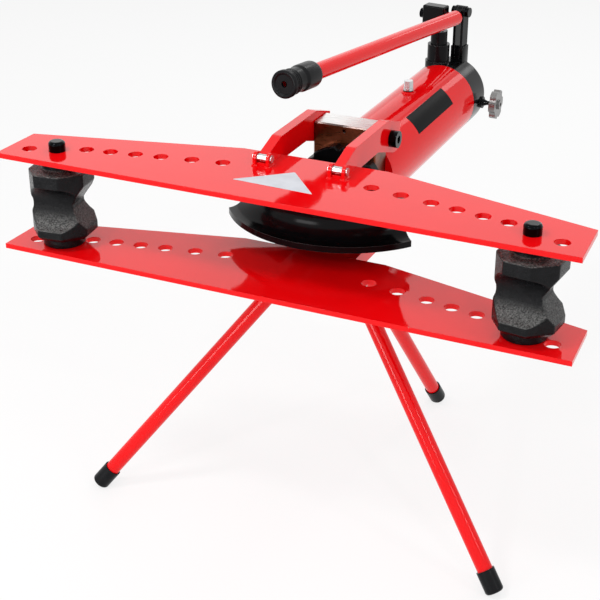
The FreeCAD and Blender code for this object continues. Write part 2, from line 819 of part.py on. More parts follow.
def make_return_spring():
    """Coil between the guide bush and the piston that draws the ram back."""
    start = cylinder_front + bush_length
    coil_length = piston_front - start - (spring_wire + seat_gap) * 2
    helix = document.addObject("Part::Helix", "spring_line")
    bind(helix, "Pitch", coil_length / spring_turns)
    bind(helix, "Height", coil_length)
    bind(helix, "Radius", spring_radius)
    wire = document.addObject("Part::Circle", "spring_section")
    bind(wire, "Radius", spring_wire)
    wire.Placement = Placement(Vector(spring_radius.value, 0, 0), AXIS_TURNS["Y"])
    bind(wire, ".Placement.Base.x", spring_radius)
    coil = document.addObject("Part::Sweep", "spring_coil")
    coil.Sections = [wire]
    coil.Spine = (helix, [])
    coil.Solid = True
    coil.Frenet = True
    keep(coil, "return_spring", y=start + spring_wire + seat_gap, turn=AXIS_TURNS["Y"])


def make_die():
    """Former: curved front with a half round pipe groove, thin web and a hub on the nose."""
    body = new_body("die")
    centre = die_front + die_radius
    tip_depth = Amount(math.sqrt(die_radius.value ** 2 - die_half_span.value ** 2),
                       "sqrt((%s)^2 - (%s)^2)" % (die_radius.text, die_half_span.text))
    hub_rear = centre - nose_seat
    hub_half = die_hub_width / 2
    blank = sketch_on(body, "XY_Plane", "die_blank")
    inner = die_half_span - die_tip
    outline(blank, [
        (-die_half_span, -tip_depth), (die_half_span, -tip_depth), (inner, die_tip - tip_depth),
        (hub_half, -hub_rear), (-hub_half, -hub_rear), (-inner, die_tip - tip_depth)],
        arcs={0: die_radius})
    pad(body, blank, die_thickness, both_ways=True)
    hub = sketch_on(body, "XY_Plane", "die_hub")
    outline(hub, [
        (-hub_half, -hub_rear - die_hub_length), (hub_half, -hub_rear - die_hub_length),
        (hub_half, -hub_rear), (-hub_half, -hub_rear)])
    pad(body, hub, die_hub_height, both_ways=True)
    for word, lift in (("top", 1), ("bottom", -1)):
        hollow = sketch_on(body, "XY_Plane", "die_hollow_" + word, die_thickness / 2 * lift)
        rim = die_radius - die_rim
        half_angle = Amount(math.degrees(math.asin(die_half_span.value / die_radius.value)),
                            "asin(%s / %s)" % (die_half_span.text, die_radius.text)) * 0.85
        outer_x = rim * sine(half_angle)
        outer_y = rim * cosine(half_angle)
        lip = hub_half + die_tip / 2
        for side in (-1, 1):
            corners = [(lip * side, -hub_rear - die_tip), (outer_x * side, -outer_y),
                       (lip * side, -Amount(math.sqrt(rim.value ** 2 - lip.value ** 2),
                                            "sqrt((%s)^2 - (%s)^2)" % (rim.text, lip.text)))]
            outline(hollow, corners, arcs={1: rim * -side})
        pocket(body, hollow, (die_thickness - die_web_thickness) / 2, backwards=lift < 0)
    groove = sketch_on(body, "YZ_Plane", "die_groove")
    circle(groove, -die_radius, zero, pipe_radius)
    cutter = body.newObject("PartDesign::Groove", "die_pipe_groove")
    cutter.Profile = groove
    for line in body.Origin.OriginFeatures:
        if line.Role == "Z_Axis":
            cutter.ReferenceAxis = (line, [""])
    cutter.Angle = 360
    bore = sketch_on(body, "XZ_Plane", "die_bore", hub_rear)
    circle(bore, zero, zero, nose_pin_radius + running_gap)
    pocket(body, bore, nose_seat - nose_front + seat_gap, backwards=True)
    keep(body, "bending_die", y=centre)


def seal_groove(name, start):
    """The ring groove round a spigot that closes the tank."""
    return ring(name, "Y", (tank_bore - seal_ring_depth, tank_bore + seal_ring_depth),
                start, start + seal_ring_width, (zero, zero))


def seal_ring(name, start):
    return ring(name, "Y", (tank_bore - seal_ring_depth + running_gap, tank_bore - running_gap),
                start + bolt_gap, start + seal_ring_width - bolt_gap, (zero, zero))


def make_reservoir():
    """Tank tube with filler boss, front cap with spigot, seals, plug and washer."""
    axis = (zero, zero)
    spigot = tank_bore - running_gap
    front_groove = tank_front + spigot_length / 2 - seal_ring_width / 2
    rear_groove = tank_rear - spigot_length / 2 - seal_ring_width / 2

    disc = rod("cap_disc", "Y", tank_radius, block_rear, tank_front, axis)
    step = rod("cap_spigot", "Y", spigot, tank_front, tank_front + spigot_length, axis)
    bore = rod("cap_bore", "Y", cylinder_outer + running_gap, block_rear,
               tank_front + spigot_length, axis)
    cap = cut("front_cap", joined("cap_blank", [disc, step]),
              [bore, seal_groove("cap_groove", front_groove)])
    keep(cap, "reservoir_front_cap")
    keep(group("seal_group", [seal_ring("front_seal", front_groove), seal_ring("rear_seal", rear_groove)]),
         "reservoir_seals")

    across = (zero, filler_depth)
    boss_top = tank_radius + filler_boss_height
    outside = rod("tank_outside", "Y", tank_radius, tank_front, tank_rear, axis)
    boss = rod("tank_boss", "Z", filler_boss_radius, zero, boss_top, across)
    inside = rod("tank_inside", "Y", tank_bore, tank_front, tank_rear, axis)
    hole = rod("tank_filler_hole", "Z", filler_stem_radius + running_gap, zero, boss_top, across)
    keep(cut("tank", joined("tank_blank", [outside, boss]), [inside, hole]), "reservoir_tube")

    head_foot = boss_top + filler_washer_thickness
    washer = ring("washer", "Z", (filler_stem_radius + bolt_gap, filler_head_radius + seat_gap),
                  boss_top, head_foot, across)
    keep(washer, "filler_washer")
    stem = rod("plug_stem", "Z", filler_stem_radius, head_foot - filler_stem_length, head_foot, across)
    collar = rod("plug_collar", "Z", filler_head_radius, head_foot, head_foot + filler_collar, across)
    barrel = document.addObject("Part::Prism", "plug_head")
    barrel.Polygon = 6
    bind(barrel, "Circumradius", filler_head_radius)
    bind(barrel, "Height", filler_head_height - filler_collar)
    move(barrel, zero, filler_depth, head_foot + filler_collar)
    keep(joined("plug", [stem, collar, barrel]), "filler_plug")


def pump_point(x, y):
    """A place in the turned pump frame, given in the machine frame."""
    return (x * cosine(pump_turn) + y * sine(pump_turn) - pump_side,
            y * cosine(pump_turn) - x * sine(pump_turn) + pump_line)


PUMP_TURN = Rotation(Vector(0, 0, 1), -pump_turn.value)


def keep_on_pump(item, name):
    """Places a piece of the linkage, built about the plunger axis in the turned pump frame."""
    keep(item, name, x=-pump_side, y=pump_line, turn=PUMP_TURN)


def make_pump_body():
    """Casting that closes the tank: disc, spigot, barrel boss, strap lug and valve boss."""
    axis = (zero, zero)
    plunger_axis = (-pump_side, pump_line)
    disc = rod("pump_disc", "Y", tank_radius, tank_rear, pump_rear, axis)
    disc = edged("Fillet", "pump_disc_rounded", disc, pump_round, lambda edge: (
        near(edge.BoundBox.YMin, pump_rear) and near(edge.BoundBox.YMax, pump_rear)))
    spigot = rod("pump_spigot", "Y", tank_bore - running_gap, tank_rear - spigot_length,
                 tank_rear, axis)
    boss = rod("pump_barrel_boss", "Z", pump_boss_radius, zero, pump_boss_top, plunger_axis)
    lug_line = (lever_side - tongue_half, pin_spacing - lug_half_width)
    lug = document.addObject("Part::Box", "pump_lug")
    bind(lug, "Length", tongue_half * 2)
    bind(lug, "Width", lug_half_width * 2)
    bind(lug, "Height", link_foot_height)
    lug.Placement = Placement(Vector(), PUMP_TURN)
    move(lug, *pump_point(*lug_line), zero)
    crown = document.addObject("Part::Cylinder", "pump_lug_crown")
    bind(crown, "Radius", lug_half_width)
    bind(crown, "Height", tongue_half * 2)
    crown.Placement = Placement(Vector(), PUMP_TURN * AXIS_TURNS["X"])
    move(crown, *pump_point(lever_side - tongue_half, pin_spacing), link_foot_height)
    valve_axis = (release_line, -release_drop)
    valve_boss = rod("pump_valve_boss", "X", release_boss_radius, zero, release_boss_reach, valve_axis)
    solid = joined("pump_blank", [disc, spigot, boss, lug, crown, valve_boss])

    lug_hole = document.addObject("Part::Cylinder", "pump_lug_hole")
    bind(lug_hole, "Radius", linkage_pin_radius + running_gap)
    bind(lug_hole, "Height", tongue_half * 2)
    lug_hole.Placement = Placement(Vector(), PUMP_TURN * AXIS_TURNS["X"])
    move(lug_hole, *pump_point(lever_side - tongue_half, pin_spacing), link_foot_height)
    delivery = (-pump_side, delivery_height)
    tools = [
        rod("pump_cylinder_seat", "Y", cylinder_outer + running_gap, tank_rear - spigot_length,
            tank_rear, axis),
        seal_groove("pump_groove", tank_rear - spigot_length / 2 - seal_ring_width / 2),
        rod("pump_barrel_hole", "Z", barrel_stub_radius + running_gap, barrel_bottom,
            pump_boss_top, plunger_axis),
        rod("pump_chamber", "Z", chamber_radius, chamber_bottom, barrel_bottom, plunger_axis),
        rod("pump_delivery", "Y", chamber_radius, tank_rear, tank_rear + delivery_length, delivery),
        rod("pump_passage", "Y", passage_radius, tank_rear, pump_line, delivery),
        rod("pump_valve_hole", "X", release_radius + running_gap, release_needle,
            release_boss_reach, valve_axis),
        rod("pump_return_passage", "Y", passage_radius, tank_rear, release_line,
            (release_needle + release_radius, -release_drop)),
        lug_hole,
    ]
    keep(cut("pump_casting", solid, tools), "pump_body")


def make_pump():
    """Barrel with its gland, the plunger and what works under it."""
    axis = (zero, zero)
    bore = plunger_radius + running_gap
    stub = rod("barrel_stub", "Z", barrel_stub_radius, barrel_bottom, pump_boss_top, axis)
    barrel = rod("barrel_outside", "Z", barrel_radius, pump_boss_top, barrel_top, axis)
    bore_tool = rod("barrel_bore", "Z", bore, barrel_bottom, barrel_top, axis)
    seal_foot = barrel_top - gland_spigot_length - plunger_seal_height
    recess = rod("barrel_recess", "Z", gland_spigot_radius + running_gap, seal_foot, barrel_top, axis)
    keep_on_pump(cut("barrel", joined("barrel_blank", [stub, barrel]), [bore_tool, recess]),
                 "pump_barrel")

    spigot = rod("gland_spigot", "Z", gland_spigot_radius, barrel_top - gland_spigot_length,
                 barrel_top, axis)
    gland_top = barrel_top + gland_height
    neck = rod("gland_neck", "Z", gland_radius, barrel_top, gland_top, axis)
    hole = rod("gland_hole", "Z", bore, barrel_top - gland_spigot_length, gland_top, axis)
    keep_on_pump(cut("gland", joined("gland_blank", [spigot, neck]), [hole]), "gland_nut")
    keep_on_pump(ring("packing", "Z", (bore, gland_spigot_radius), seal_foot,
                      barrel_top - gland_spigot_length, axis), "plunger_seal")

    stem = rod("plunger_stem", "Z", plunger_radius, plunger_bottom,
               plunger_head_bottom + plunger_socket, axis)
    keep_on_pump(edged("Chamfer", "plunger_solid", stem, plunger_chamfer, lambda edge: (
        near(edge.BoundBox.ZMax, plunger_bottom))), "plunger")

    seat = chamber_bottom + ball_radius + seat_gap
    suction = document.addObject("Part::Sphere", "suction_ball")
    bind(suction, "Radius", ball_radius)
    move(suction, -pump_side, pump_line, seat)
    delivery_seat = tank_rear + delivery_length - ball_radius - seat_gap
    delivery = document.addObject("Part::Sphere", "delivery_ball")
    bind(delivery, "Radius", ball_radius)
    move(delivery, -pump_side, delivery_seat, delivery_height)
    keep(group("ball_group", [suction, delivery]), "check_balls")
    coil = (check_spring_radius - check_spring_wall, check_spring_radius)
    suction_spring = ring("suction_spring", "Z", coil, seat + ball_radius / 2,
                          barrel_bottom - seat_gap, (-pump_side, pump_line))
    delivery_spring = ring("delivery_spring", "Y", coil, tank_rear + seat_gap,
                           delivery_seat - ball_radius / 2, (-pump_side, delivery_height))
    keep(group("spring_group", [suction_spring, delivery_spring]), "check_springs")


def make_plunger_head():
    """Block on the plunger with a slotted eye for the lever's pin."""
    right = lever_side - lever_radius - seat_gap * 3
    half = plunger_head_depth / 2
    blank = box("head_blank", (-plunger_head_left, right), (-half, half),
                (plunger_head_bottom, plunger_head_top))
    blank = edged("Chamfer", "head_chamfered", blank, block_chamfer, lambda edge: (
        edge.BoundBox.ZMin > plunger_head_top.value - 1 or edge.BoundBox.ZLength > 1))
    radius = linkage_pin_radius + eye_play
    tools = [rod("head_socket", "Z", plunger_radius + running_gap, plunger_head_bottom,
                 plunger_head_bottom + plunger_socket, (zero, zero))]
    for k, shift in enumerate((-eye_play, eye_travel)):
        tools.append(rod("head_eye_%d" % k, "X", radius, -plunger_head_left, right,
                         (amount(shift), plunger_pin_height)))
    tools.append(box("head_eye_slot", (-plunger_head_left, right), (-eye_play, eye_travel),
                     (plunger_pin_height - radius, plunger_pin_height + radius)))
    keep_on_pump(cut("head", blank, tools), "plunger_head")
    pin_end = lever_side + tongue_half
    shank = rod("eye_bolt_shank", "X", linkage_pin_radius, -plunger_head_left - seat_gap, pin_end,
                (zero, plunger_pin_height))
    head = rod("eye_bolt_head", "X", pin_head_radius, -plunger_head_left - seat_gap - pin_head_length,
               -plunger_head_left - seat_gap, (zero, plunger_pin_height))
    keep_on_pump(joined("eye_bolt", [shank, head]), "plunger_pin")


def make_links():
    """Two straps from the lug on the pump body up to the fulcrum, with their pins."""
    straps = []
    inner = tongue_half + tongue_gap
    for k, flank in enumerate((-1, 1)):
        faces = sorted([lever_side + inner * flank, lever_side + (inner + link_thickness) * flank],
                       key=lambda face: face.value)
        name = "strap_%d" % k
        shank = box(name + "_shank", faces, (pin_spacing - link_half_width, pin_spacing + link_half_width),
                    (link_foot_height, fulcrum_height))
        parts = [shank]
        holes = []
        for word, level in (("foot", link_foot_height), ("top", fulcrum_height)):
            across = (pin_spacing, level)
            parts.append(rod(name + word, "X", link_half_width, faces[0], faces[1], across))
            holes.append(rod(name + word + "_hole", "X", linkage_pin_radius + running_gap,
                             faces[0], faces[1], across))
        straps.append(cut(name, joined(name + "_blank", parts), holes))
    keep_on_pump(group("strap_group", straps), "fulcrum_links")

    outer = inner + link_thickness
    left = lever_side - outer
    right = lever_side + outer
    top = (pin_spacing, fulcrum_height)
    shank = rod("fulcrum_shank", "X", linkage_pin_radius, left - pin_head_length, right, top)
    head = rod("fulcrum_head", "X", pin_head_radius, right, right + pin_head_length, top)
    nut = ring("fulcrum_nut", "X", (linkage_pin_radius + running_gap, pin_head_radius),
               left - pin_head_length, left, top)
    keep_on_pump(group("fulcrum_bolt", [joined("fulcrum_screw", [shank, head]), nut]), "fulcrum_pin")

    foot = (pin_spacing, link_foot_height)
    rivet = rod("rivet_shank", "X", linkage_pin_radius, left, right, foot)
    heads = [rod("rivet_left", "X", pin_head_radius, left - rivet_head, left, foot),
             rod("rivet_right", "X", pin_head_radius, right, right + rivet_head, foot)]
    keep_on_pump(joined("rivet", [rivet] + heads), "link_pin")


def keep_on_lever(item, name):
    """Places a lever piece, built about the fulcrum with the lever running along -Y."""
    x, y = pump_point(lever_side, pin_spacing)
    tilt = Rotation(Vector(1, 0, 0), -lever_tilt.value)
    keep(item, name, x=x, y=y, z=fulcrum_height, turn=PUMP_TURN * tilt)


def make_lever():
    """Lever tube with a tongue in its rear end and a ribbed grip on its front end."""
    pin_y = pin_rise * sine(lever_tilt) - pin_spacing * cosine(lever_tilt)
    pin_z = -pin_spacing * sine(lever_tilt) - pin_rise * cosine(lever_tilt)
    bore = lever_radius - lever_wall
    slot = bore - seat_gap * 4

    body = new_body("tongue")
    profile = sketch_on(body, "YZ_Plane", "tongue_profile")
    outline(profile, [
        (-tongue_length, -lever_drop - slot), (zero, -link_half_width), (zero, link_half_width),
        (-lever_start, slot - lever_drop), (-tongue_length, slot - lever_drop)])
    pad(body, profile, tongue_half * 2, both_ways=True)
    eye = sketch_on(body, "YZ_Plane", "tongue_eye")
    circle(eye, zero, zero, link_half_width)
    pad(body, eye, tongue_half * 2, both_ways=True)
    holes = sketch_on(body, "YZ_Plane", "tongue_holes")
    circle(holes, zero, zero, linkage_pin_radius + running_gap)
    circle(holes, pin_y, pin_z, linkage_pin_radius + running_gap)
    pocket_through(body, holes)
    keep_on_lever(body, "lever_head")

    axis = (zero, -lever_drop)
    tube_front = grip_end_wall - lever_reach
    outside = rod("lever_outside", "Y", lever_radius, tube_front, -lever_start, axis)
    outside = edged("Fillet", "lever_rounded", outside, lever_round, lambda edge: (
        near(edge.BoundBox.YMin, -lever_start) and near(edge.BoundBox.YMax, -lever_start)))
    tools = [
        rod("lever_bore", "Y", bore, tube_front, -lever_start - lever_end_wall, axis),
        box("lever_slot", (-tongue_half - bolt_gap, tongue_half + bolt_gap),
            (-lever_start - lever_end_wall - lever_round, zero),
            (-lever_drop - slot - bolt_gap, slot - lever_drop + bolt_gap)),
        rod("lever_pin_hole", "X", linkage_pin_radius + running_gap, -lever_radius, zero,
            (pin_y, pin_z)),
    ]
    keep_on_lever(cut("lever", outside, tools), "lever_tube")

    front = -lever_reach
    rear = grip_length - lever_reach
    body = rod("grip_body", "Y", grip_radius, front, rear, axis)
    flange = rod("grip_flange", "Y", grip_flange_radius, front, front + grip_flange_length, axis)
    collar = rod("grip_collar", "Y", grip_flange_radius - grip_groove_depth / 2,
                 rear - grip_flange_length, rear, axis)
    blank = joined("grip_blank", [body, flange, collar])
    tools = [
        rod("grip_tube_hole", "Y", lever_radius + bolt_gap, tube_front, rear, axis),
        rod("grip_end_hole", "Y", grip_hole_radius, front, tube_front, axis),
    ]
    for k in range(5):
        start = front + grip_flange_length * (1.6 + 1.4 * k)
        tools.append(ring("grip_groove_%d" % k, "Y", (grip_radius - grip_groove_depth, grip_radius + 1),
                          start, start + grip_flange_length * 0.5, axis))
    keep_on_lever(cut("grip", blank, tools), "lever_grip")


def make_release_valve():
    """Spindle with a needle end and a lobed hand knob."""
    axis = (release_line, -release_drop)
    neck = release_boss_reach + release_cone
    knob_end = knob_start + knob_thickness
    parts = [
        rod("spindle_stem", "X", release_radius, release_needle + release_radius,
            release_boss_reach, axis),
        taper("spindle_cone", "X", (release_radius + 2, release_neck_radius),
              release_boss_reach + seat_gap, neck, axis),
        rod("spindle_link", "X", release_neck_radius, release_boss_reach, neck, axis),
        rod("spindle_neck", "X", release_neck_radius, neck, knob_end, axis),
    ]
    keep(joined("spindle", parts), "release_spindle")

    body = new_body("knob")
    disc = sketch_on(body, "XY_Plane", "knob_disc")
    circle(disc, zero, zero, knob_radius)
    pad(body, disc, knob_thickness)
    scallop = sketch_on(body, "XY_Plane", "knob_scallop")
    circle(scallop, knob_radius + knob_scallop_radius / 2, zero, knob_scallop_radius)
    bite = pocket_through(body, scallop)
    document.recompute()
    lobes = body.newObject("PartDesign::PolarPattern", "knob_lobes")
    lobes.Originals = [bite]
    for line in body.Origin.OriginFeatures:
        if line.Role == "Z_Axis":
            lobes.Axis = (line, [""])
    lobes.Angle = 360
    bind(lobes, "Occurrences", knob_lobes)
    body.Tip = lobes
    hub = sketch_on(body, "XY_Plane", "knob_hub")
    circle(hub, zero, zero, knob_hub_radius)
    pad(body, hub, knob_thickness * 1.3, both_ways=False)
    bore = sketch_on(body, "XY_Plane", "knob_bore")
    circle(bore, zero, zero, release_neck_radius + running_gap)
    pocket_through(body, bore)
    keep(body, "release_knob", x=knob_start, y=release_line, z=-release_drop, turn=AXIS_TURNS["X"])


def make_shoe(name, side):
    """Spool shaped block: pipe groove on its face, waisted ends, boss and bore for the pin."""
    low = -plate_gap / 2 + seat_gap
    high = plate_gap / 2 - seat_gap * 2
    blank = box(name + "_blank", (-shoe_half_length, shoe_half_length), (-shoe_back, shoe_face),
                (-shoe_bottom, shoe_top))
    blank = edged("Fillet", name + "_rounded", blank, shoe_corner,
                  lambda edge: edge.BoundBox.ZLength > 1)
    blank = edged("Chamfer", name + "_footed", blank, shoe_foot_chamfer,
                  lambda edge: near(edge.BoundBox.ZMax, -shoe_bottom))
    tools = [
        rod(name + "_groove", "X", shoe_groove_radius, -shoe_half_length, shoe_half_length,
            (shoe_face + shoe_groove_radius - shoe_groove_depth, zero)),
        rod(name + "_back", "X", shoe_back_radius, -shoe_half_length, shoe_half_length,
            (-shoe_back - shoe_back_radius + shoe_back_depth, zero)),
    ]
    for k, end in enumerate((-1, 1)):
        tools.append(rod(name + "_waist_%d" % k, "Y", shoe_waist_radius, -shoe_back, shoe_face,
                         ((shoe_half_length + shoe_waist_radius - shoe_waist_depth) * end, zero)))
    spool = cut(name + "_spool", blank, tools)
    boss = rod(name + "_boss", "Z", shoe_boss_radius, low, high, (zero, zero))
    bore = rod(name + "_bore", "Z", pin_radius + running_gap, low, high, (zero, zero))
    trim = cut(name + "_trim", boss, [
        rod(name + "_trim_groove", "X", shoe_groove_radius, -shoe_half_length, shoe_half_length,
            (shoe_face + shoe_groove_radius - shoe_groove_depth, zero))])
    keep(cut(name + "_solid", joined(name + "_mass", [spool, trim]), [bore]), name,
         x=station_two * side, y=station_two_depth,
         turn=Rotation(Vector(0, 0, 1), shoe_turn.value * side))


def make_roller_pin(name, side):
    """Loose pin through both plates, hanging by its domed cap."""
    axis = (zero, zero)
    shank = rod(name + "_shank", "Z", pin_radius, -plate_top - pin_foot, plate_top, axis)
    shank = edged("Chamfer", name + "_pointed", shank, block_chamfer, lambda edge: (
        near(edge.BoundBox.ZMax, -plate_top - pin_foot)))
    cap = rod(name + "_cap", "Z", pin_cap_radius, plate_top, plate_top + pin_cap_height, axis)
    cap = edged("Fillet", name + "_domed", cap, pin_cap_round, lambda edge: (
        near(edge.BoundBox.ZMin, plate_top + pin_cap_height)))
    keep(joined(name + "_solid", [shank, cap]), name, x=station_two * side, y=station_two_depth)


def make_stations():
    for word, side in (("left", -1), ("right", 1)):
        make_shoe("shoe_" + word, side)
        make_roller_pin("roller_pin_" + word, side)


def bracket_screw_places():
    return [(bracket_screw_side * side, y) for side in (-1, 1)
            for y in (bracket_screw_front, bracket_screw_rear)]


def leg_places():
    """Name, point where the leg's axis crosses the foot of the block, and point on the floor."""
    return [
        ("left", (-front_socket_side, front_socket_depth), (-front_foot_side, front_foot_depth)),
        ("right", (front_socket_side, front_socket_depth), (front_foot_side, front_foot_depth)),
        ("rear", (rear_socket_side, rear_socket_depth), (rear_foot_side, rear_foot_depth)),
    ]


def leg_line(top, foot):
    """The leg's upper end, its unit direction and its tilt from upright."""
    start = Vector(top[0].value, top[1].value, block_foot.value)
    end = Vector(foot[0].value, foot[1].value, floor.value)
    way = (end - start).normalize()
    tilt = math.acos(-way.z)
    drop = (leg_radius.value * math.sin(tilt) + seat_gap.value) / math.cos(tilt)
    return start + way * drop, way, tilt


def along(name, radius, start, way, length):
    """A round bar from a point along a slanting direction."""
    item = document.addObject("Part::Cylinder", name)
    bind(item, "Radius", radius)
    item.Height = length
    item.Placement = Placement(start, Rotation(Vector(0, 0, 1), way))
    return item


def make_leg(word, top, foot):
    """Tube in its socket, and the rubber cap with a small flat where it meets the floor."""
    start, way, tilt = leg_line(top, foot)
    round_off = cap_round.value
    side_drop = (cap_radius.value - round_off) * math.sin(tilt)
    end_height = floor.value - cap_flat.value + round_off * (1 - math.cos(tilt)) + side_drop
    length = (start.z - end_height) / math.cos(tilt)
    tube_length = length - cap_floor.value
    outside = along("leg_outside_" + word, leg_radius, start, way, tube_length)
    inside = along("leg_inside_" + word, leg_radius - leg_wall, start, way, tube_length)
    keep(cut("leg_tube_" + word, outside, [inside]), "leg_" + word)

    cap_start = start + way * (length - cap_length.value)
    cap = along("cap_outside_" + word, cap_radius, cap_start, way, cap_length.value)
    cap = edged("Fillet", "cap_rounded_" + word, cap, cap_round,
                lambda edge: edge.Closed and edge.CenterOfMass.z < cap_start.z - 1)
    hole = along("cap_hole_" + word, leg_radius + running_gap, cap_start, way,
                 cap_length.value - cap_floor.value)
    reach = plate_length.value
    ground = document.addObject("Part::Box", "cap_ground_" + word)
    bind(ground, "Length", plate_length)
    bind(ground, "Width", plate_length)
    bind(ground, "Height", leg_radius)
    ground.Placement.Base = Vector(foot[0].value - reach / 2, foot[1].value - reach / 2, 0)
    bind(ground, ".Placement.Base.z", floor - leg_radius)
    keep(cut("cap_solid_" + word, cap, [hole, ground]), "leg_cap_" + word)


def make_bracket():
    """Plate under the block with three slanting sockets, and the screws that hold it."""
    foot = block_foot - bracket_thickness
    plate = box("bracket_plate", (-bracket_half_width, bracket_half_width),
                (bracket_front, bracket_rear), (foot, block_foot))
    sockets = []
    bores = []
    for word, top, floor_point in leg_places():
        start, way, tilt = leg_line(top, floor_point)
        back = way * (-socket_radius.value)
        length = socket_length.value + socket_radius.value
        sockets.append(along("socket_" + word, socket_radius, start + back, way, length))
        bores.append(along("socket_bore_" + word, leg_radius + running_gap, start, way, length))
    above = box("bracket_above", (-plate_length / 2, plate_length / 2), (zero, tank_rear),
                (block_foot, zero))
    holes = []
    screws = []
    for k, place in enumerate(bracket_screw_places()):
        holes.append(rod("bracket_hole_%d" % k, "Z", bracket_screw_radius + bolt_gap, foot,
                         block_foot, place))
        shank = rod("screw_shank_%d" % k, "Z", bracket_screw_radius, foot,
                    block_foot + bracket_screw_reach, place)
        head = rod("screw_head_%d" % k, "Z", bracket_screw_head_radius, foot - bracket_screw_head,
                   foot, place)
        screws.append(joined("screw_%d" % k, [shank, head]))
    blank = joined("bracket_blank", [plate] + sockets)
    keep(cut("bracket", blank, [above] + bores + holes), "leg_bracket")
    keep(group("screw_group", screws), "bracket_screws")


def make_tripod():
    make_bracket()
    for word, top, foot in leg_places():
        make_leg(word, top, foot)


def check_and_write():
    """Stops on any failed object or empty cut, then writes each piece as a STEP file."""
    document.recompute()
    for item in document.Objects:
        if "Invalid" in item.State or "Error" in item.State:
            raise RuntimeError("%s failed: %s" % (item.Name, item.State))
        if item.TypeId in ("PartDesign::Pocket", "PartDesign::Groove"):
            if item.Shape.Volume > item.BaseFeature.Shape.Volume - 0.001:
                raise RuntimeError("%s cuts nothing" % item.Name)
    os.makedirs("parts", exist_ok=True)
    for name, item in pieces.items():
        if item.Shape.isNull() or not item.Shape.isValid():
            raise RuntimeError("%s has no valid shape" % name)
        item.Shape.exportStep("parts/%s.step" % name)


make_plates()
make_arms()
make_hinges()
make_arm_bolts()
make_block()
make_cylinder()
make_ram()
make_return_spring()
make_die()
make_reservoir()
make_pump_body()
make_pump()
make_plunger_head()
make_links()
make_lever()
make_release_valve()
make_stations()
make_tripod()
check_and_write()
print(len(pieces), "pieces written")
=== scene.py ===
"""Looks of a hydraulic pipe bending machine: enamel, castings, steel, rubber and small trim."""

import math

import bmesh
import bpy
from mathutils import Matrix, Vector


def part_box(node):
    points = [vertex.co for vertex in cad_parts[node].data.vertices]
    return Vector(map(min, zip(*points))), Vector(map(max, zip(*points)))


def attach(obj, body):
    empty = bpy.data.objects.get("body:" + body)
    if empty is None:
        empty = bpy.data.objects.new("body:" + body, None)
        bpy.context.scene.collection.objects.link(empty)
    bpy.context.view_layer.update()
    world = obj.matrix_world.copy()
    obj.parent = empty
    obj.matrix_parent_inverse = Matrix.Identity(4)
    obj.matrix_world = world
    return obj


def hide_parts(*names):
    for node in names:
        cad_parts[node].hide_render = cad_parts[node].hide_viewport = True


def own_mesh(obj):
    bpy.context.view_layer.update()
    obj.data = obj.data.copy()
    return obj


bl_info = {
    "name": "Pipe bending machine",
    "version": (1, 0, 0),
    "blender": (4, 5, 0),
    "location": "View3D > Sidebar > Pipe bender",
    "description": "Dresses a hydraulic pipe bending machine and sets the studio around it",
    "category": "Object",
}

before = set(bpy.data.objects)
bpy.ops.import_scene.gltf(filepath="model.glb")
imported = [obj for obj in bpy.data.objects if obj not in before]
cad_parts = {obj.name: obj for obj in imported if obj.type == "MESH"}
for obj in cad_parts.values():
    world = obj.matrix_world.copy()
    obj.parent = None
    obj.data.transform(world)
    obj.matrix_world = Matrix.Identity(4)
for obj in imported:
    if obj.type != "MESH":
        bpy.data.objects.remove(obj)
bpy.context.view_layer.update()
MM = 0.001
# Loose corners closer than this are one corner
MERGE_DISTANCE = 0.002 * MM
# How far a corner may lie from a level, or from a wall or a face, to count as on it
LEVEL_TOLERANCE, SURFACE_TOLERANCE = 0.05 * MM, 0.1 * MM


def extent(node):
    """Lowest and highest corner of a node as two vectors."""
    low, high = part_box(node)
    return Vector(low), Vector(high)


def middle(node):
    """Middle of a node's box."""
    low, high = extent(node)
    return (low + high) / 2


# Lines of the machine that the dressing follows, all read from the frame
PLATE_LOW, PLATE_HIGH = extent("upper_plate")
LOWER_TOP = extent("lower_plate")[1].z
TANK_LOW, TANK_HIGH = extent("reservoir_front_cap")
TANK_AXIS = middle("reservoir_front_cap")
TANK_RADIUS = (TANK_HIGH.x - TANK_LOW.x) / 2
FRONT = PLATE_LOW.y


def linear(value):
    """One sRGB channel from 0 to 1 as linear light."""
    if value <= 0.04045:
        return value / 12.92
    return ((value + 0.055) / 1.055) ** 2.4


def colour(code):
    """A linear colour from an sRGB hex code."""
    channels = [int(code[k:k + 2], 16) / 255 for k in (1, 3, 5)]
    return (*[linear(value) for value in channels], 1.0)


def hex_default(code):
    """An sRGB hex code as the default of a colour property."""
    return colour(code)[:3]


class BenderFinish(bpy.types.PropertyGroup):
    """Colours of the machine that a user would change."""
    enamel: bpy.props.FloatVectorProperty(
        name="Enamel", description="Gloss enamel on plates, arms, tank, lever and legs",
        subtype="COLOR", size=3, min=0, max=1, default=hex_default("#E6060C"))
    casting: bpy.props.FloatVectorProperty(
        name="Casting", description="Black lacquer on die, shoes and pump",
        subtype="COLOR", size=3, min=0, max=1, default=hex_default("#0C0C0E"))
    rubber: bpy.props.FloatVectorProperty(
        name="Rubber", description="Grip and leg caps",
        subtype="COLOR", size=3, min=0, max=1, default=hex_default("#111214"))
    sticker: bpy.props.FloatVectorProperty(
        name="Plate sticker", description="Bare triangle on the upper plate",
        subtype="COLOR", size=3, min=0, max=1, default=hex_default("#CDD0D6"))
    label: bpy.props.FloatVectorProperty(
        name="Tank label", description="Bare label on the tank",
        subtype="COLOR", size=3, min=0, max=1, default=hex_default("#0B0B0C"))


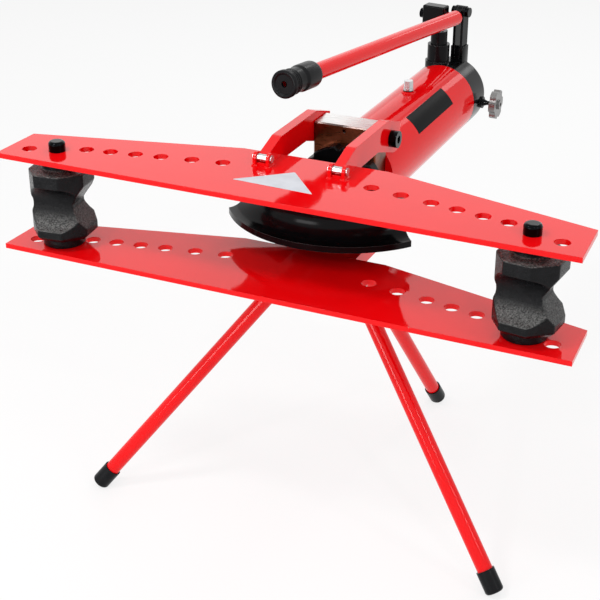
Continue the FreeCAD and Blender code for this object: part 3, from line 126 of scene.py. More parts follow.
class BenderTrim(bpy.types.PropertyGroup):
    """Sizes of the trim that is added to the frame."""
    weld_width: bpy.props.FloatProperty(
        name="Weld width", description="Width of the weld beads",
        subtype="DISTANCE", default=5 * MM, min=1 * MM)
    weld_pitch: bpy.props.FloatProperty(
        name="Weld ripple", description="Distance from one ripple of a weld to the next",
        subtype="DISTANCE", default=2.2 * MM, min=0.5 * MM)
    collar_radius: bpy.props.FloatProperty(
        name="Collar radius", description="Outer radius of the collar at the block's front",
        subtype="DISTANCE", default=68 * MM, min=40 * MM)
    collar_depth: bpy.props.FloatProperty(
        name="Collar depth", description="How far the collar stands out of the block",
        subtype="DISTANCE", default=20 * MM, min=5 * MM)
    sticker_thickness: bpy.props.FloatProperty(
        name="Sticker thickness", description="Thickness of the bare stickers",
        subtype="DISTANCE", default=0.25 * MM, min=0.05 * MM)


class BenderStage(bpy.types.PropertyGroup):
    """Camera and light."""
    lens: bpy.props.FloatProperty(
        name="Lens", description="Focal length of the camera in millimetres", default=81.64)
    azimuth: bpy.props.FloatProperty(
        name="Azimuth", description="Turn of the view about the upright, from the front",
        subtype="ANGLE", default=math.radians(24.7))
    elevation: bpy.props.FloatProperty(
        name="Elevation", description="Height of the view above the horizon",
        subtype="ANGLE", default=math.radians(26.8))
    distance: bpy.props.FloatProperty(
        name="Distance", description="From the camera to the point it looks at",
        subtype="DISTANCE", default=1.6336)
    aim_side: bpy.props.FloatProperty(
        name="Aim to the side", description="Point looked at, to the right of the middle",
        subtype="DISTANCE", default=0.176)
    aim_forward: bpy.props.FloatProperty(
        name="Aim in front", description="Point looked at, in front of the plates' front edge",
        subtype="DISTANCE", default=0.2597)
    sky: bpy.props.FloatProperty(
        name="Sky", description="Strength of the even light from all round", default=0.7)
    lamps: bpy.props.FloatProperty(
        name="Lamps", description="Strength of all lamps against their set power", default=1.0)


def finish():
    """The scene's colours."""
    return bpy.context.scene.bender_finish


def trim():
    """The scene's sizes of the trim."""
    return bpy.context.scene.bender_trim


def stage_settings():
    """The scene's camera and light."""
    return bpy.context.scene.bender_stage


# Materials: each is named for its finish and reads Object coordinates

def add(tree, kind, settings=None, **links):
    """Adds a node, sets its properties and unlinked inputs, and links the named inputs."""
    node = tree.nodes.new(kind)
    for key, value in (settings or {}).items():
        if hasattr(node, key) and key not in node.inputs:
            setattr(node, key, value)
        else:
            node.inputs[key].default_value = value
    for key, source in links.items():
        tree.links.new(source, node.inputs[key.replace("_", " ")])
    return node


def feed(tree, socket, given):
    """Links an input to another socket, or sets it to a value."""
    if isinstance(given, bpy.types.NodeSocket):
        tree.links.new(given, socket)
    else:
        socket.default_value = given


def new_material(name):
    """An empty material and its node tree."""
    material = bpy.data.materials.new(name)
    material.use_nodes = True
    material.node_tree.nodes.clear()
    return material, material.node_tree


def finish_material(tree, shader):
    """Makes a shader the surface of its material."""
    add(tree, "ShaderNodeOutputMaterial", Surface=shader.outputs[0])


def grain(tree, size_mm, detail=2.0, roughness=0.5, stretch=None):
    """Noise whose lumps are about size_mm across, drawn out where the stretch is below 1."""
    place = add(tree, "ShaderNodeTexCoord").outputs["Object"]
    if stretch:
        place = add(tree, "ShaderNodeMapping", {"Scale": stretch}, Vector=place).outputs[0]
    noise = add(tree, "ShaderNodeTexNoise",
                {"Scale": 1 / (size_mm * MM), "Detail": detail, "Roughness": roughness},
                Vector=place)
    return noise.outputs["Fac"]


def spread(tree, source, low, high, start=0.3, end=0.7):
    """Maps a value from start to end onto low to high."""
    node = add(tree, "ShaderNodeMapRange",
               {"From Min": start, "From Max": end, "To Min": low, "To Max": high},
               Value=source)
    return node.outputs[0]


def combined(tree, operation, first, second):
    """What a math node makes of two values or sockets."""
    result = add(tree, "ShaderNodeMath", {"operation": operation})
    feed(tree, result.inputs[0], first)
    feed(tree, result.inputs[1], second)
    return result.outputs[0]


def tint(tree, source, first, second):
    """Mixes two colours, each given as a value or as a socket, by a value from 0 to 1."""
    mix = add(tree, "ShaderNodeMix", {"data_type": "RGBA"}, Factor=source)
    # Of the node's sockets, inputs 6 and 7 and output 2 are those for colours
    feed(tree, mix.inputs[6], first)
    feed(tree, mix.inputs[7], second)
    return mix.outputs[2]


def mottle(tree, noise, first, second):
    """Mixes two colours by the lumps of a noise."""
    return tint(tree, spread(tree, noise, 0.0, 1.0), first, second)


def shade(base, share):
    """A colour with its light scaled by a share."""
    return (*[min(1.0, channel * share) for channel in base[:3]], 1.0)


def edge_glint_mask(tree, radius_mm):
    """Mask for painted edge highlights: 0 on flats, 1 at edges, from how far a rounded normal
    leans away from the true one.
    """
    rounded = add(tree, "ShaderNodeBevel", {"samples": 6, "Radius": radius_mm * MM})
    facing = add(tree, "ShaderNodeNewGeometry")
    lean = add(tree, "ShaderNodeVectorMath", {"operation": "DOT_PRODUCT"})
    tree.links.new(rounded.outputs[0], lean.inputs[0])
    tree.links.new(facing.outputs["Normal"], lean.inputs[1])
    return spread(tree, lean.outputs["Value"], 1.0, 0.0, start=0.82, end=0.99)


def looking_up(tree, most, start, end):
    """0 on walls, rising to most on faces that look up, by the height of their normal."""
    facing = add(tree, "ShaderNodeNewGeometry")
    parts = add(tree, "ShaderNodeSeparateXYZ", Vector=facing.outputs["Normal"])
    return spread(tree, parts.outputs["Z"], 0.0, most, start, end)


def soft_edges(tree, height, radius_mm, strength, depth_mm):
    """A bump on normals that run round the edges, as on a sprayed or cast edge."""
    edge = add(tree, "ShaderNodeBevel", {"samples": 4, "Radius": radius_mm * MM})
    bump = add(tree, "ShaderNodeBump", {"Strength": strength, "Distance": depth_mm * MM},
               Height=height, Normal=edge.outputs[0])
    return bump.outputs[0]


# Index of refraction of the enamel on the plates and on the tank. Enamel has about 1.5; the
# lower one keeps the white room's reflection as faint as the photo shows it.
PLATE_IOR, TANK_IOR = 1.32, 1.2


def gloss_enamel(name, base, ior):
    """Sprayed and baked enamel: a clear glossy skin with a faint orange peel of about 4 mm."""
    material, tree = new_material(name)
    peel = grain(tree, 4.0, detail=1.0)
    shader = add(tree, "ShaderNodeBsdfPrincipled", {"Roughness": 0.06, "IOR": ior},
                 Base_Color=mottle(tree, grain(tree, 90.0), shade(base, 0.97), shade(base, 1.02)),
                 Normal=soft_edges(tree, peel, radius_mm=0.9, strength=0.1, depth_mm=0.12))
    finish_material(tree, shader)
    return material


def sand_cast_lacquer(base):
    """Sand cast iron under black lacquer, whose grains glint, with painted highlights in grey on
    its upward flanks and edges.

    The sand is finer than a millimetre and is drawn at 2.4 mm, so that its glints show.
    """
    material, tree = new_material("sand_cast_lacquer")
    sand = grain(tree, 2.4, detail=4.0, roughness=0.7)
    lumps = grain(tree, 11.0)
    skin = soft_edges(tree, lumps, radius_mm=2.0, strength=0.6, depth_mm=1.2)
    rough = add(tree, "ShaderNodeBump", {"Strength": 0.9, "Distance": 0.8 * MM},
                Height=sand, Normal=skin)
    black = mottle(tree, lumps, shade(base, 0.75), shade(base, 1.5))
    # Painted highlights: the flanks that look up and the edges are greyed grain by grain, where
    # light would glint on them
    grains = spread(tree, sand, 0.05, 1.0, start=0.38, end=0.68)
    lying = looking_up(tree, 0.7, start=0.25, end=0.75)
    painted_flank_highlight = tint(tree, combined(tree, "MULTIPLY", lying, grains), black, colour("#8C8C8A"))
    edges = combined(tree, "MULTIPLY", edge_glint_mask(tree, 2.0), grains)
    shader = add(tree, "ShaderNodeBsdfPrincipled", {"IOR": 1.24},
                 Base_Color=tint(tree, edges, painted_flank_highlight, colour("#7C7C7A")),
                 Roughness=spread(tree, sand, 0.12, 0.3), Normal=rough.outputs[0])
    finish_material(tree, shader)
    return material


def smooth_lacquer(base):
    """Machined castings and straps under black lacquer: a faint ripple, and edges greyed in
    patches as painted highlights.
    """
    material, tree = new_material("smooth_lacquer")
    ripple = grain(tree, 5.0)
    cloud = grain(tree, 30.0)
    black = mottle(tree, cloud, shade(base, 0.8), shade(base, 1.15))
    # Painted highlights: the edges are greyed in patches where light would catch them
    painted_edge_highlight = combined(tree, "MULTIPLY", edge_glint_mask(tree, 0.9), spread(tree, cloud, 0.3, 0.9))
    shader = add(tree, "ShaderNodeBsdfPrincipled", {"IOR": 1.2},
                 Base_Color=tint(tree, painted_edge_highlight, black, colour("#6A6B6C")),
                 Roughness=spread(tree, cloud, 0.11, 0.2),
                 Normal=soft_edges(tree, ripple, radius_mm=1.0, strength=0.2, depth_mm=0.2))
    finish_material(tree, shader)
    return material


def metal(name, code, roughness, marks_mm, strength):
    """Bare, plated or blackened metal with fine tool marks all over."""
    material, tree = new_material(name)
    base = colour(code)
    marks = grain(tree, marks_mm, detail=3.0)
    cloud = grain(tree, 22.0, detail=3.0)
    shader = add(tree, "ShaderNodeBsdfPrincipled", {"Metallic": 1.0},
                 Base_Color=mottle(tree, cloud, base, shade(base, 0.85)),
                 Roughness=spread(tree, marks, roughness * 0.75, roughness * 1.3),
                 Normal=soft_edges(tree, marks, radius_mm=0.5, strength=strength, depth_mm=0.05))
    finish_material(tree, shader)
    return material


def milled_block():
    """Milled steel block with cutter marks: its top painted near white as lit, its sides painted
    brown as a reflection of the red enamel.
    """
    material, tree = new_material("milled_block")
    marks = grain(tree, 2.2, detail=4.0, stretch=(0.12, 1, 1))
    side_reflection_mottle = grain(tree, 26.0, detail=4.0, roughness=0.6)
    # Painted reflection: the sides are tinted brown for the red enamel they face
    side = mottle(tree, side_reflection_mottle, colour("#8A4A34"), colour("#4A260F"))
    # Painted highlight: the top is tinted near white, as light falls on it
    top = mottle(tree, marks, colour("#B9B8B6"), colour("#E4E4E3"))
    shader = add(tree, "ShaderNodeBsdfPrincipled", {"Metallic": 1.0},
                 Base_Color=tint(tree, looking_up(tree, 1.0, start=0.6, end=0.9), side, top),
                 Roughness=spread(tree, marks, 0.24, 0.4),
                 Normal=soft_edges(tree, marks, radius_mm=1.2, strength=0.3, depth_mm=0.1))
    finish_material(tree, shader)
    return material


def moulded_rubber(base):
    """Moulded rubber: a dull sheen over a fine even grain of just under a millimetre."""
    material, tree = new_material("moulded_rubber")
    fine = grain(tree, 0.8)
    cloud = grain(tree, 12.0)
    shader = add(tree, "ShaderNodeBsdfPrincipled", {"Roughness": 0.3, "IOR": 1.22},
                 Base_Color=mottle(tree, cloud, shade(base, 0.85), shade(base, 1.2)),
                 Normal=soft_edges(tree, fine, radius_mm=0.8, strength=0.25, depth_mm=0.15))
    finish_material(tree, shader)
    return material


def printed_film(name, base, roughness):
    """Plain sticker film, evenly coloured with a slight mottle."""
    material, tree = new_material(name)
    cloud = grain(tree, 25.0)
    lift = add(tree, "ShaderNodeBump", {"Strength": 0.1, "Distance": 0.05 * MM},
               Height=grain(tree, 3.0))
    shader = add(tree, "ShaderNodeBsdfPrincipled", {"Roughness": roughness, "IOR": 1.1},
                 Base_Color=mottle(tree, cloud, shade(base, 0.93), shade(base, 1.05)),
                 Normal=lift.outputs[0])
    finish_material(tree, shader)
    return material


# Mesh helpers

def new_piece(name, mesh, body, material):
    """A finished piece with its place in its mesh, riding on a body."""
    piece = bpy.data.objects.new(name, mesh)
    bpy.context.scene.collection.objects.link(piece)
    mesh.materials.clear()
    mesh.materials.append(material)
    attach(piece, body)
    return piece


def smooth_shaded(mesh, angle_degrees):
    """Smooth shading with sharp edges over an angle."""
    mesh.shade_smooth()
    mesh.set_sharp_from_angle(angle=math.radians(angle_degrees))


def as_mesh(work, name):
    """A bmesh as a mesh whose faces look outwards."""
    bmesh.ops.recalc_face_normals(work, faces=work.faces)
    mesh = bpy.data.meshes.new(name)
    work.to_mesh(mesh)
    work.free()
    return mesh


def baked(source, name):
    """The evaluated mesh of an object as a plain mesh; the source object is removed."""
    bpy.context.view_layer.update()
    graph = bpy.context.evaluated_depsgraph_get()
    mesh = bpy.data.meshes.new_from_object(source.evaluated_get(graph))
    mesh.name = name
    source.modifiers.clear()
    bpy.data.objects.remove(source)
    return mesh


def merged_copy(node):
    """A copy of a node's mesh with its loose triangles merged."""
    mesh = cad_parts[node].data.copy()
    work = bmesh.new()
    work.from_mesh(mesh)
    bmesh.ops.remove_doubles(work, verts=work.verts, dist=MERGE_DISTANCE)
    work.to_mesh(mesh)
    work.free()
    return mesh


# Metals: colour, roughness, width of the tool marks in millimetres and strength of their bump
METALS = {
    # Bare steel from the lathe
    "turned_steel": ("#B4B2B0", 0.22, 0.8, 0.25),
    # Ground rods under hard chrome, and polished balls
    "hard_chrome": ("#D9DADC", 0.08, 0.6, 0.1),
    # Bright zinc plate on small turned steel parts
    "zinc_plate": ("#C9CBCC", 0.24, 0.8, 0.2),
    # Blackened and oiled steel of bolts, pins and springs
    "black_oxide": ("#141517", 0.17, 0.8, 0.2),
    # Bearing bronze from the lathe
    "turned_bronze": ("#B98A4A", 0.25, 0.5, 0.3),
    # Die cast zinc, dull and grainy
    "cast_zinc": ("#8E8D8C", 0.32, 1.2, 0.4),
}
MATERIALS = {}

# Which nodes each finish is on
FINISHES = {
    "gloss_enamel": [
        "upper_plate", "lower_plate", "hinge_lugs", "upper_arm_left", "upper_arm_right",
        "lower_arm_left", "lower_arm_right", "lever_tube", "leg_bracket", "leg_left",
        "leg_right", "leg_rear"],
    "tank_enamel": ["reservoir_front_cap", "reservoir_tube"],
    "sand_cast_lacquer": ["shoe_left", "shoe_right"],
    "smooth_lacquer": [
        "bending_die", "pump_body", "pump_barrel", "gland_nut", "fulcrum_links",
        "plunger_head", "lever_head", "release_spindle", "pressure_cylinder"],
    "milled_block": ["head_block"],
    "turned_steel": ["ram_nose", "piston"],
    "hard_chrome": ["ram_rod", "plunger", "check_balls"],
    "zinc_plate": ["hinge_pins", "filler_plug"],
    "black_oxide": [
        "arm_bolts", "plunger_pin", "fulcrum_pin", "link_pin", "return_spring", "check_springs",
        "bracket_screws", "roller_pin_left", "roller_pin_right"],
    "turned_bronze": ["guide_bush"],
    "cast_zinc": ["release_knob"],
    "moulded_rubber": [
        "rod_wiper", "piston_seal", "reservoir_seals", "filler_washer", "plunger_seal",
        "lever_grip", "leg_cap_left", "leg_cap_right", "leg_cap_rear"],
}


class BENDER_OT_finishes(bpy.types.Operator):
    """Makes the finishes and puts them on the nodes"""
    bl_idname = "bender.finishes"
    bl_label = "Finishes"

    def execute(self, context):
        colours = finish()
        enamel, casting = tuple(colours.enamel), tuple(colours.casting)
        MATERIALS["gloss_enamel"] = gloss_enamel("gloss_enamel", enamel, PLATE_IOR)
        MATERIALS["tank_enamel"] = gloss_enamel("tank_enamel", enamel, TANK_IOR)
        MATERIALS["sand_cast_lacquer"] = sand_cast_lacquer(casting)
        MATERIALS["smooth_lacquer"] = smooth_lacquer(casting)
        MATERIALS["moulded_rubber"] = moulded_rubber(tuple(colours.rubber))
        MATERIALS["milled_block"] = milled_block()
        for name, look in METALS.items():
            MATERIALS[name] = metal(name, *look)
        MATERIALS["sticker_film"] = printed_film("sticker_film", tuple(colours.sticker), 0.35)
        MATERIALS["label_film"] = printed_film("label_film", tuple(colours.label), 0.3)
        for name, nodes in FINISHES.items():
            for node in nodes:
                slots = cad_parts[node].data.materials
                slots.clear()
                slots.append(MATERIALS[name])
        return {"FINISHED"}


# A scale of weld is this much longer than the way from one to the next
SCALE_OVERLAP = 1.9
# The filler boss's foot lies within this reach of the plug's axis
BOSS_REACH = 25 * MM


def weld_tree():
    """Geometry Nodes that lay one scale of weld after another along bare edges."""
    tree = bpy.data.node_groups.new("weld_bead", "GeometryNodeTree")
    for name, way, kind in (("Seam", "INPUT", "Geometry"), ("Width", "INPUT", "Float"),
                            ("Pitch", "INPUT", "Float"), ("Finish", "INPUT", "Material"),
                            ("Bead", "OUTPUT", "Geometry")):
        tree.interface.new_socket(name, in_out=way, socket_type="NodeSocket" + kind)
    given = add(tree, "NodeGroupInput").outputs
    line = add(tree, "GeometryNodeMeshToCurve", Mesh=given["Seam"])
    steps = add(tree, "GeometryNodeResampleCurve", {"mode": "LENGTH"},
                Curve=line.outputs[0], Length=given["Pitch"])
    scale = add(tree, "GeometryNodeMeshUVSphere", {"Segments": 8, "Rings": 5, "Radius": 0.5})
    along = add(tree, "GeometryNodeInputTangent")
    turn = add(tree, "FunctionNodeAlignRotationToVector", {"axis": "X"}, Vector=along.outputs[0])
    size = add(tree, "ShaderNodeCombineXYZ", Y=given["Width"], Z=given["Width"],
               X=combined(tree, "MULTIPLY", given["Pitch"], SCALE_OVERLAP))
    laid = add(tree, "GeometryNodeInstanceOnPoints", Points=steps.outputs[0],
               Instance=scale.outputs[0], Rotation=turn.outputs[0], Scale=size.outputs[0])
    real = add(tree, "GeometryNodeRealizeInstances", Geometry=laid.outputs[0])
    done = add(tree, "GeometryNodeSetMaterial", Geometry=real.outputs[0],
               Material=given["Finish"])
    add(tree, "NodeGroupOutput", Bead=done.outputs[0])
    return tree


def seam_mesh(node, keeps):
    """The edges of a node that pass a test, as a mesh of bare edges."""
    source = merged_copy(node)
    work = bmesh.new()
    work.from_mesh(source)
    bpy.data.meshes.remove(source)
    chosen = [[tuple(vert.co) for vert in edge.verts] for edge in work.edges if keeps(edge)]
    work.free()
    if not chosen:
        raise RuntimeError("no seam found on " + node)
    places = sorted({place for pair in chosen for place in pair})
    order = {place: k for k, place in enumerate(places)}
    mesh = bpy.data.meshes.new(node + "_seam")
    mesh.from_pydata(places, [(order[first], order[second]) for first, second in chosen], [])
    return mesh


def weld(tree, name, node, keeps):
    """One node's weld beads as a piece on the frame."""
    source = bpy.data.objects.new(name + "_source", seam_mesh(node, keeps))
    bpy.context.scene.collection.objects.link(source)
    modifier = source.modifiers.new("weld", "NODES")
    modifier.node_group = tree
    values = {"Width": trim().weld_width, "Pitch": trim().weld_pitch,
              "Finish": MATERIALS["gloss_enamel"]}
    for item in tree.interface.items_tree:
        if item.in_out == "INPUT" and item.name in values:
            modifier[item.identifier] = values[item.name]
    mesh = baked(source, name)
    mesh.shade_smooth()
    new_piece(name, mesh, "frame", MATERIALS["gloss_enamel"])


def faces_down(face):
    """Whether a face looks down, give or take 25 degrees."""
    return face.normal.z < -0.9


def round_foot(edge, level):
    """Whether an edge lies at a level where a wall stands on a face that looks down."""
    if any(abs(vert.co.z - level) > LEVEL_TOLERANCE for vert in edge.verts):
        return False
    return sum(faces_down(face) for face in edge.link_faces) == 1


def boss_foot(edge, plug):
    """Whether an edge lies on the tank's top wall, close round the filler plug."""
    for vert in edge.verts:
        out = math.hypot(vert.co.x - TANK_AXIS.x, vert.co.z - TANK_AXIS.z)
        near = math.hypot(vert.co.x - plug.x, vert.co.y - plug.y)
        off_wall = abs(out - TANK_RADIUS) > SURFACE_TOLERANCE
        if off_wall or near > BOSS_REACH or vert.co.z < TANK_AXIS.z:
            return False
    return True


class BENDER_OT_welds(bpy.types.Operator):
    """Weld beads at the ears' feet and round the filler boss"""
    bl_idname = "bender.welds"
    bl_label = "Welds"

    def execute(self, context):
        tree = weld_tree()
        plug = middle("filler_plug")
        weld(tree, "ear_welds", "hinge_lugs", lambda edge: round_foot(edge, PLATE_HIGH.z))
        weld(tree, "boss_weld", "reservoir_tube", lambda edge: boss_foot(edge, plug))
        return {"FINISHED"}


# The collar's bore, edge and depth of the spanner slots in millimetres
COLLAR_BORE, COLLAR_EDGE, COLLAR_SLOT = 31, 2, 4
# Steps round the collar, from one slot to the next, and across a slot
COLLAR_STEPS, SLOT_PITCH, SLOT_STEPS = 96, 12, 2


class BENDER_OT_ram_collar(bpy.types.Operator):
    """Round black collar with spanner slots where the ram leaves the block"""
    bl_idname = "bender.ram_collar"
    bl_label = "Ram collar"

    def execute(self, context):
        block_front = extent("head_block")[0].y
        axis = middle("ram_rod")
        outer, depth = trim().collar_radius, trim().collar_depth
        inner, edge, slot = COLLAR_BORE * MM, COLLAR_EDGE * MM, COLLAR_SLOT * MM
        # Radius and distance in front of the block, from the bore's rear end round to the back
        outline = [(inner, 0.0), (inner, depth - edge), (inner + edge, depth),
                   (outer - edge, depth), (outer, depth - edge), (outer, 0.0)]
        work = bmesh.new()
        rings = []
        for k in range(COLLAR_STEPS):
            angle = 2 * math.pi * k / COLLAR_STEPS
            # The slots are cut into the rim alone
            sunk = slot if k % SLOT_PITCH < SLOT_STEPS else 0.0
            ring = []
            for radius, out in outline:
                reach = radius - sunk if radius > outer - 2 * edge else radius
                ring.append(work.verts.new((axis.x + reach * math.cos(angle), block_front - out,
                                            axis.z + reach * math.sin(angle))))
            rings.append(ring)
        for k in range(COLLAR_STEPS):
            first, second = rings[k], rings[(k + 1) % COLLAR_STEPS]
            for m in range(len(outline)):
                n = (m + 1) % len(outline)
                work.faces.new((first[m], first[n], second[n], second[m]))
        mesh = as_mesh(work, "ram_collar")
        smooth_shaded(mesh, 25)
        new_piece("ram_collar", mesh, "frame", MATERIALS["smooth_lacquer"])
        return {"FINISHED"}


# Steps round a turned or bored outline
ROUND_STEPS = 96
# A casting's skin: its cells in millimetres, and how far and how often it is smoothed
CAST_CELL, CAST_SOFTNESS, CAST_ROUNDS = 1.3, 0.5, 6


def ring_corners(radius, across=0.0, up=0.0):
    """Corners of a fine round outline in millimetres."""
    steps = [2 * math.pi * k / ROUND_STEPS for k in range(ROUND_STEPS)]
    return [(across + radius * math.cos(step), up + radius * math.sin(step)) for step in steps]


def prism(corners, low, high, axis="Z", foot_chamfer=0.0):
    """A closed prism along an axis, from an outline across it, all in millimetres."""
    order = {"X": (2, 0, 1), "Y": (0, 2, 1), "Z": (0, 1, 2)}[axis]
    work = bmesh.new()
    ends = []
    for level in (low, high):
        places = [(*corner, level) for corner in corners]
        ends.append([work.verts.new([place[k] * MM for k in order]) for place in places])
    for end in ends:
        work.faces.new(end)
    for k, corner in enumerate(ends[0]):
        work.faces.new((corner, ends[0][k - 1], ends[1][k - 1], ends[1][k]))
    bmesh.ops.recalc_face_normals(work, faces=work.faces)
    if foot_chamfer:
        foot = [edge for edge in work.edges if all(vert in ends[0] for vert in edge.verts)]
        bmesh.ops.bevel(work, geom=foot, offset=foot_chamfer * MM, segments=1, affect="EDGES")
    solid = bpy.data.objects.new("prism", as_mesh(work, "prism"))
    bpy.context.scene.collection.objects.link(solid)
    return solid


def cast(name, parts, cuts):
    """Parts joined and cuts taken out, with every edge as soft as a casting's."""
    body = parts[0]
    others = [(part, "UNION") for part in parts[1:]] + [(tool, "DIFFERENCE") for tool in cuts]
    for other, operation in others:
        step = body.modifiers.new("step", "BOOLEAN")
        step.operation = operation
        step.object = other
        step.solver = "EXACT"
    skin = body.modifiers.new("skin", "REMESH")
    skin.mode = "VOXEL"
    skin.voxel_size = CAST_CELL * MM
    soften = body.modifiers.new("soften", "SMOOTH")
    soften.factor = CAST_SOFTNESS
    soften.iterations = CAST_ROUNDS
    mesh = baked(body, name)
    for other, _ in others:
        bpy.data.objects.remove(other)
    mesh.shade_smooth()
    return mesh


# A shoe, in millimetres from its pin's axis and the middle of the gap between the plates.
# Reach of its front and rear flats, of the flat with the vee and of the one with the small
# groove, and half the width of a flat:
SHOE_FACE, SHOE_OUTER, SHOE_INNER, SHOE_LIP = 47, 50, 42, 20
# Height of its foot and top, and the foot's chamfer:
SHOE_FOOT, SHOE_TOP, SHOE_CHAMFER = -56, 54, 7
# Height of all grooves, and radius and depth of the two deep ones and of the small one:
GROOVE_LEVEL, GROOVE_RADIUS, GROOVE_DEPTH = -2, 37, 26
SMALL_RADIUS, SMALL_DEPTH = 29, 4
# Half height of the vee's mouth, its depth and half height of its floor:
VEE_HALF, VEE_DEPTH, VEE_FLOOR = 38, 21, 3
# Radius of the pin's bore, of the boss on top and of the ring at the foot:
PIN_BORE, BOSS_RADIUS, FOOT_RADIUS = 11.4, 25, 33
# Clearance under the foot and over the boss, and how far solids and cuts overlap:
FOOT_GAP, BOSS_GAP, OVERLAP, FAR, BORE_OVERLAP = 0.3, 0.6, 2, 80, 5
# Turn about its pin in degrees, mirrored on the right
SHOE_TURN = 6.5


class BENDER_OT_shoes(bpy.types.Operator):
    """Eight sided cast shoes, grooved front and rear, with a vee and a small groove"""
    bl_idname = "bender.shoes"
    bl_label = "Shoes"

    def execute(self, context):
        axis = middle("ram_rod").z
        half_gap = (PLATE_LOW.z - LOWER_TOP) / 2 / MM
        for side, turn in (("left", 1), ("right", -1)):
            mesh = cast("cast_shoe_" + side, self.masses(half_gap), self.hollows(half_gap))
            pin = middle("roller_pin_" + side)
            mesh.transform(Matrix.Translation((pin.x, pin.y, axis))
                           @ Matrix.Rotation(math.radians(SHOE_TURN * turn), 4, "Z"))
            piece = new_piece("cast_shoe_" + side, mesh, side + "_shoe",
                              MATERIALS["sand_cast_lacquer"])
            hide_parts("shoe_" + side)
        return {"FINISHED"}

    def masses(self, half_gap):
        """The eight sided body, the ring at its foot and the boss on top."""
        outline = [
            (-SHOE_LIP, -SHOE_FACE), (SHOE_LIP, -SHOE_FACE), (SHOE_OUTER, -SHOE_LIP),
            (SHOE_OUTER, SHOE_LIP), (SHOE_LIP, SHOE_FACE), (-SHOE_LIP, SHOE_FACE),
            (-SHOE_INNER, SHOE_LIP), (-SHOE_INNER, -SHOE_LIP)]
        return [prism(outline, SHOE_FOOT, SHOE_TOP, foot_chamfer=SHOE_CHAMFER),
                prism(ring_corners(FOOT_RADIUS), FOOT_GAP - half_gap, SHOE_FOOT + OVERLAP),
                prism(ring_corners(BOSS_RADIUS), SHOE_TOP - OVERLAP, half_gap - BOSS_GAP)]

    def hollows(self, half_gap):
        """Cuts for the pipe: two deep grooves, a small one and a vee, and the pin's bore."""
        reach = SHOE_FACE + GROOVE_RADIUS - GROOVE_DEPTH
        small = -SHOE_INNER - SMALL_RADIUS + SMALL_DEPTH
        floor, mouth = SHOE_OUTER - VEE_DEPTH, SHOE_OUTER + OVERLAP
        vee = [(floor, GROOVE_LEVEL - VEE_FLOOR), (mouth, GROOVE_LEVEL - VEE_HALF),
               (mouth, GROOVE_LEVEL + VEE_HALF), (floor, GROOVE_LEVEL + VEE_FLOOR)]
        return [prism(ring_corners(GROOVE_RADIUS, -reach, GROOVE_LEVEL), -FAR, FAR, "X"),
                prism(ring_corners(GROOVE_RADIUS, reach, GROOVE_LEVEL), -FAR, FAR, "X"),
                prism(ring_corners(SMALL_RADIUS, small, GROOVE_LEVEL), -FAR, FAR, "Y"),
                prism(vee, -FAR, FAR, "Y"),
                prism(ring_corners(PIN_BORE), -half_gap - BORE_OVERLAP, half_gap + BORE_OVERLAP)]


# Turn of the lever about the upright and its rise to the front, in degrees
LEVER_TURN, LEVER_RISE = 7, 3.3
# The grip in millimetres: length, radius, radius of the hole in its end, where that end's wall
# meets the tube, and radius of the tube's fit
GRIP_LENGTH, GRIP_RADIUS, GRIP_HOLE, GRIP_WALL, TUBE_FIT = 86, 19, 5, 8, 13.7
# Radius and length of its flange, and the roundness of edges and rings
GRIP_FLANGE, GRIP_FLANGE_LENGTH, GRIP_EDGE = 22, 9, 2
# The dished front and the flange's edges: inset from its radius, and distance from the front end
DISH_DEPTH = 2.5
FLANGE_SECTION = [(7, DISH_DEPTH), (5.5, 0.5), (4.5, 0), (GRIP_EDGE, 0), (0.6, 0.6),
                  (0, GRIP_EDGE), (0, GRIP_FLANGE_LENGTH - 1), (1, GRIP_FLANGE_LENGTH)]
# Number, pitch and height of the rings, then the swollen sleeve and the steps of its curves
GRIP_RINGS, RING_PITCH, RING_HEIGHT = 3, 5, 1.5
SWELL_RADIUS, SWELL_LENGTH, SWELL_SLOPE, SWELL_STEPS = 21.3, 48, 9, 6
GRIP_STEPS = 72


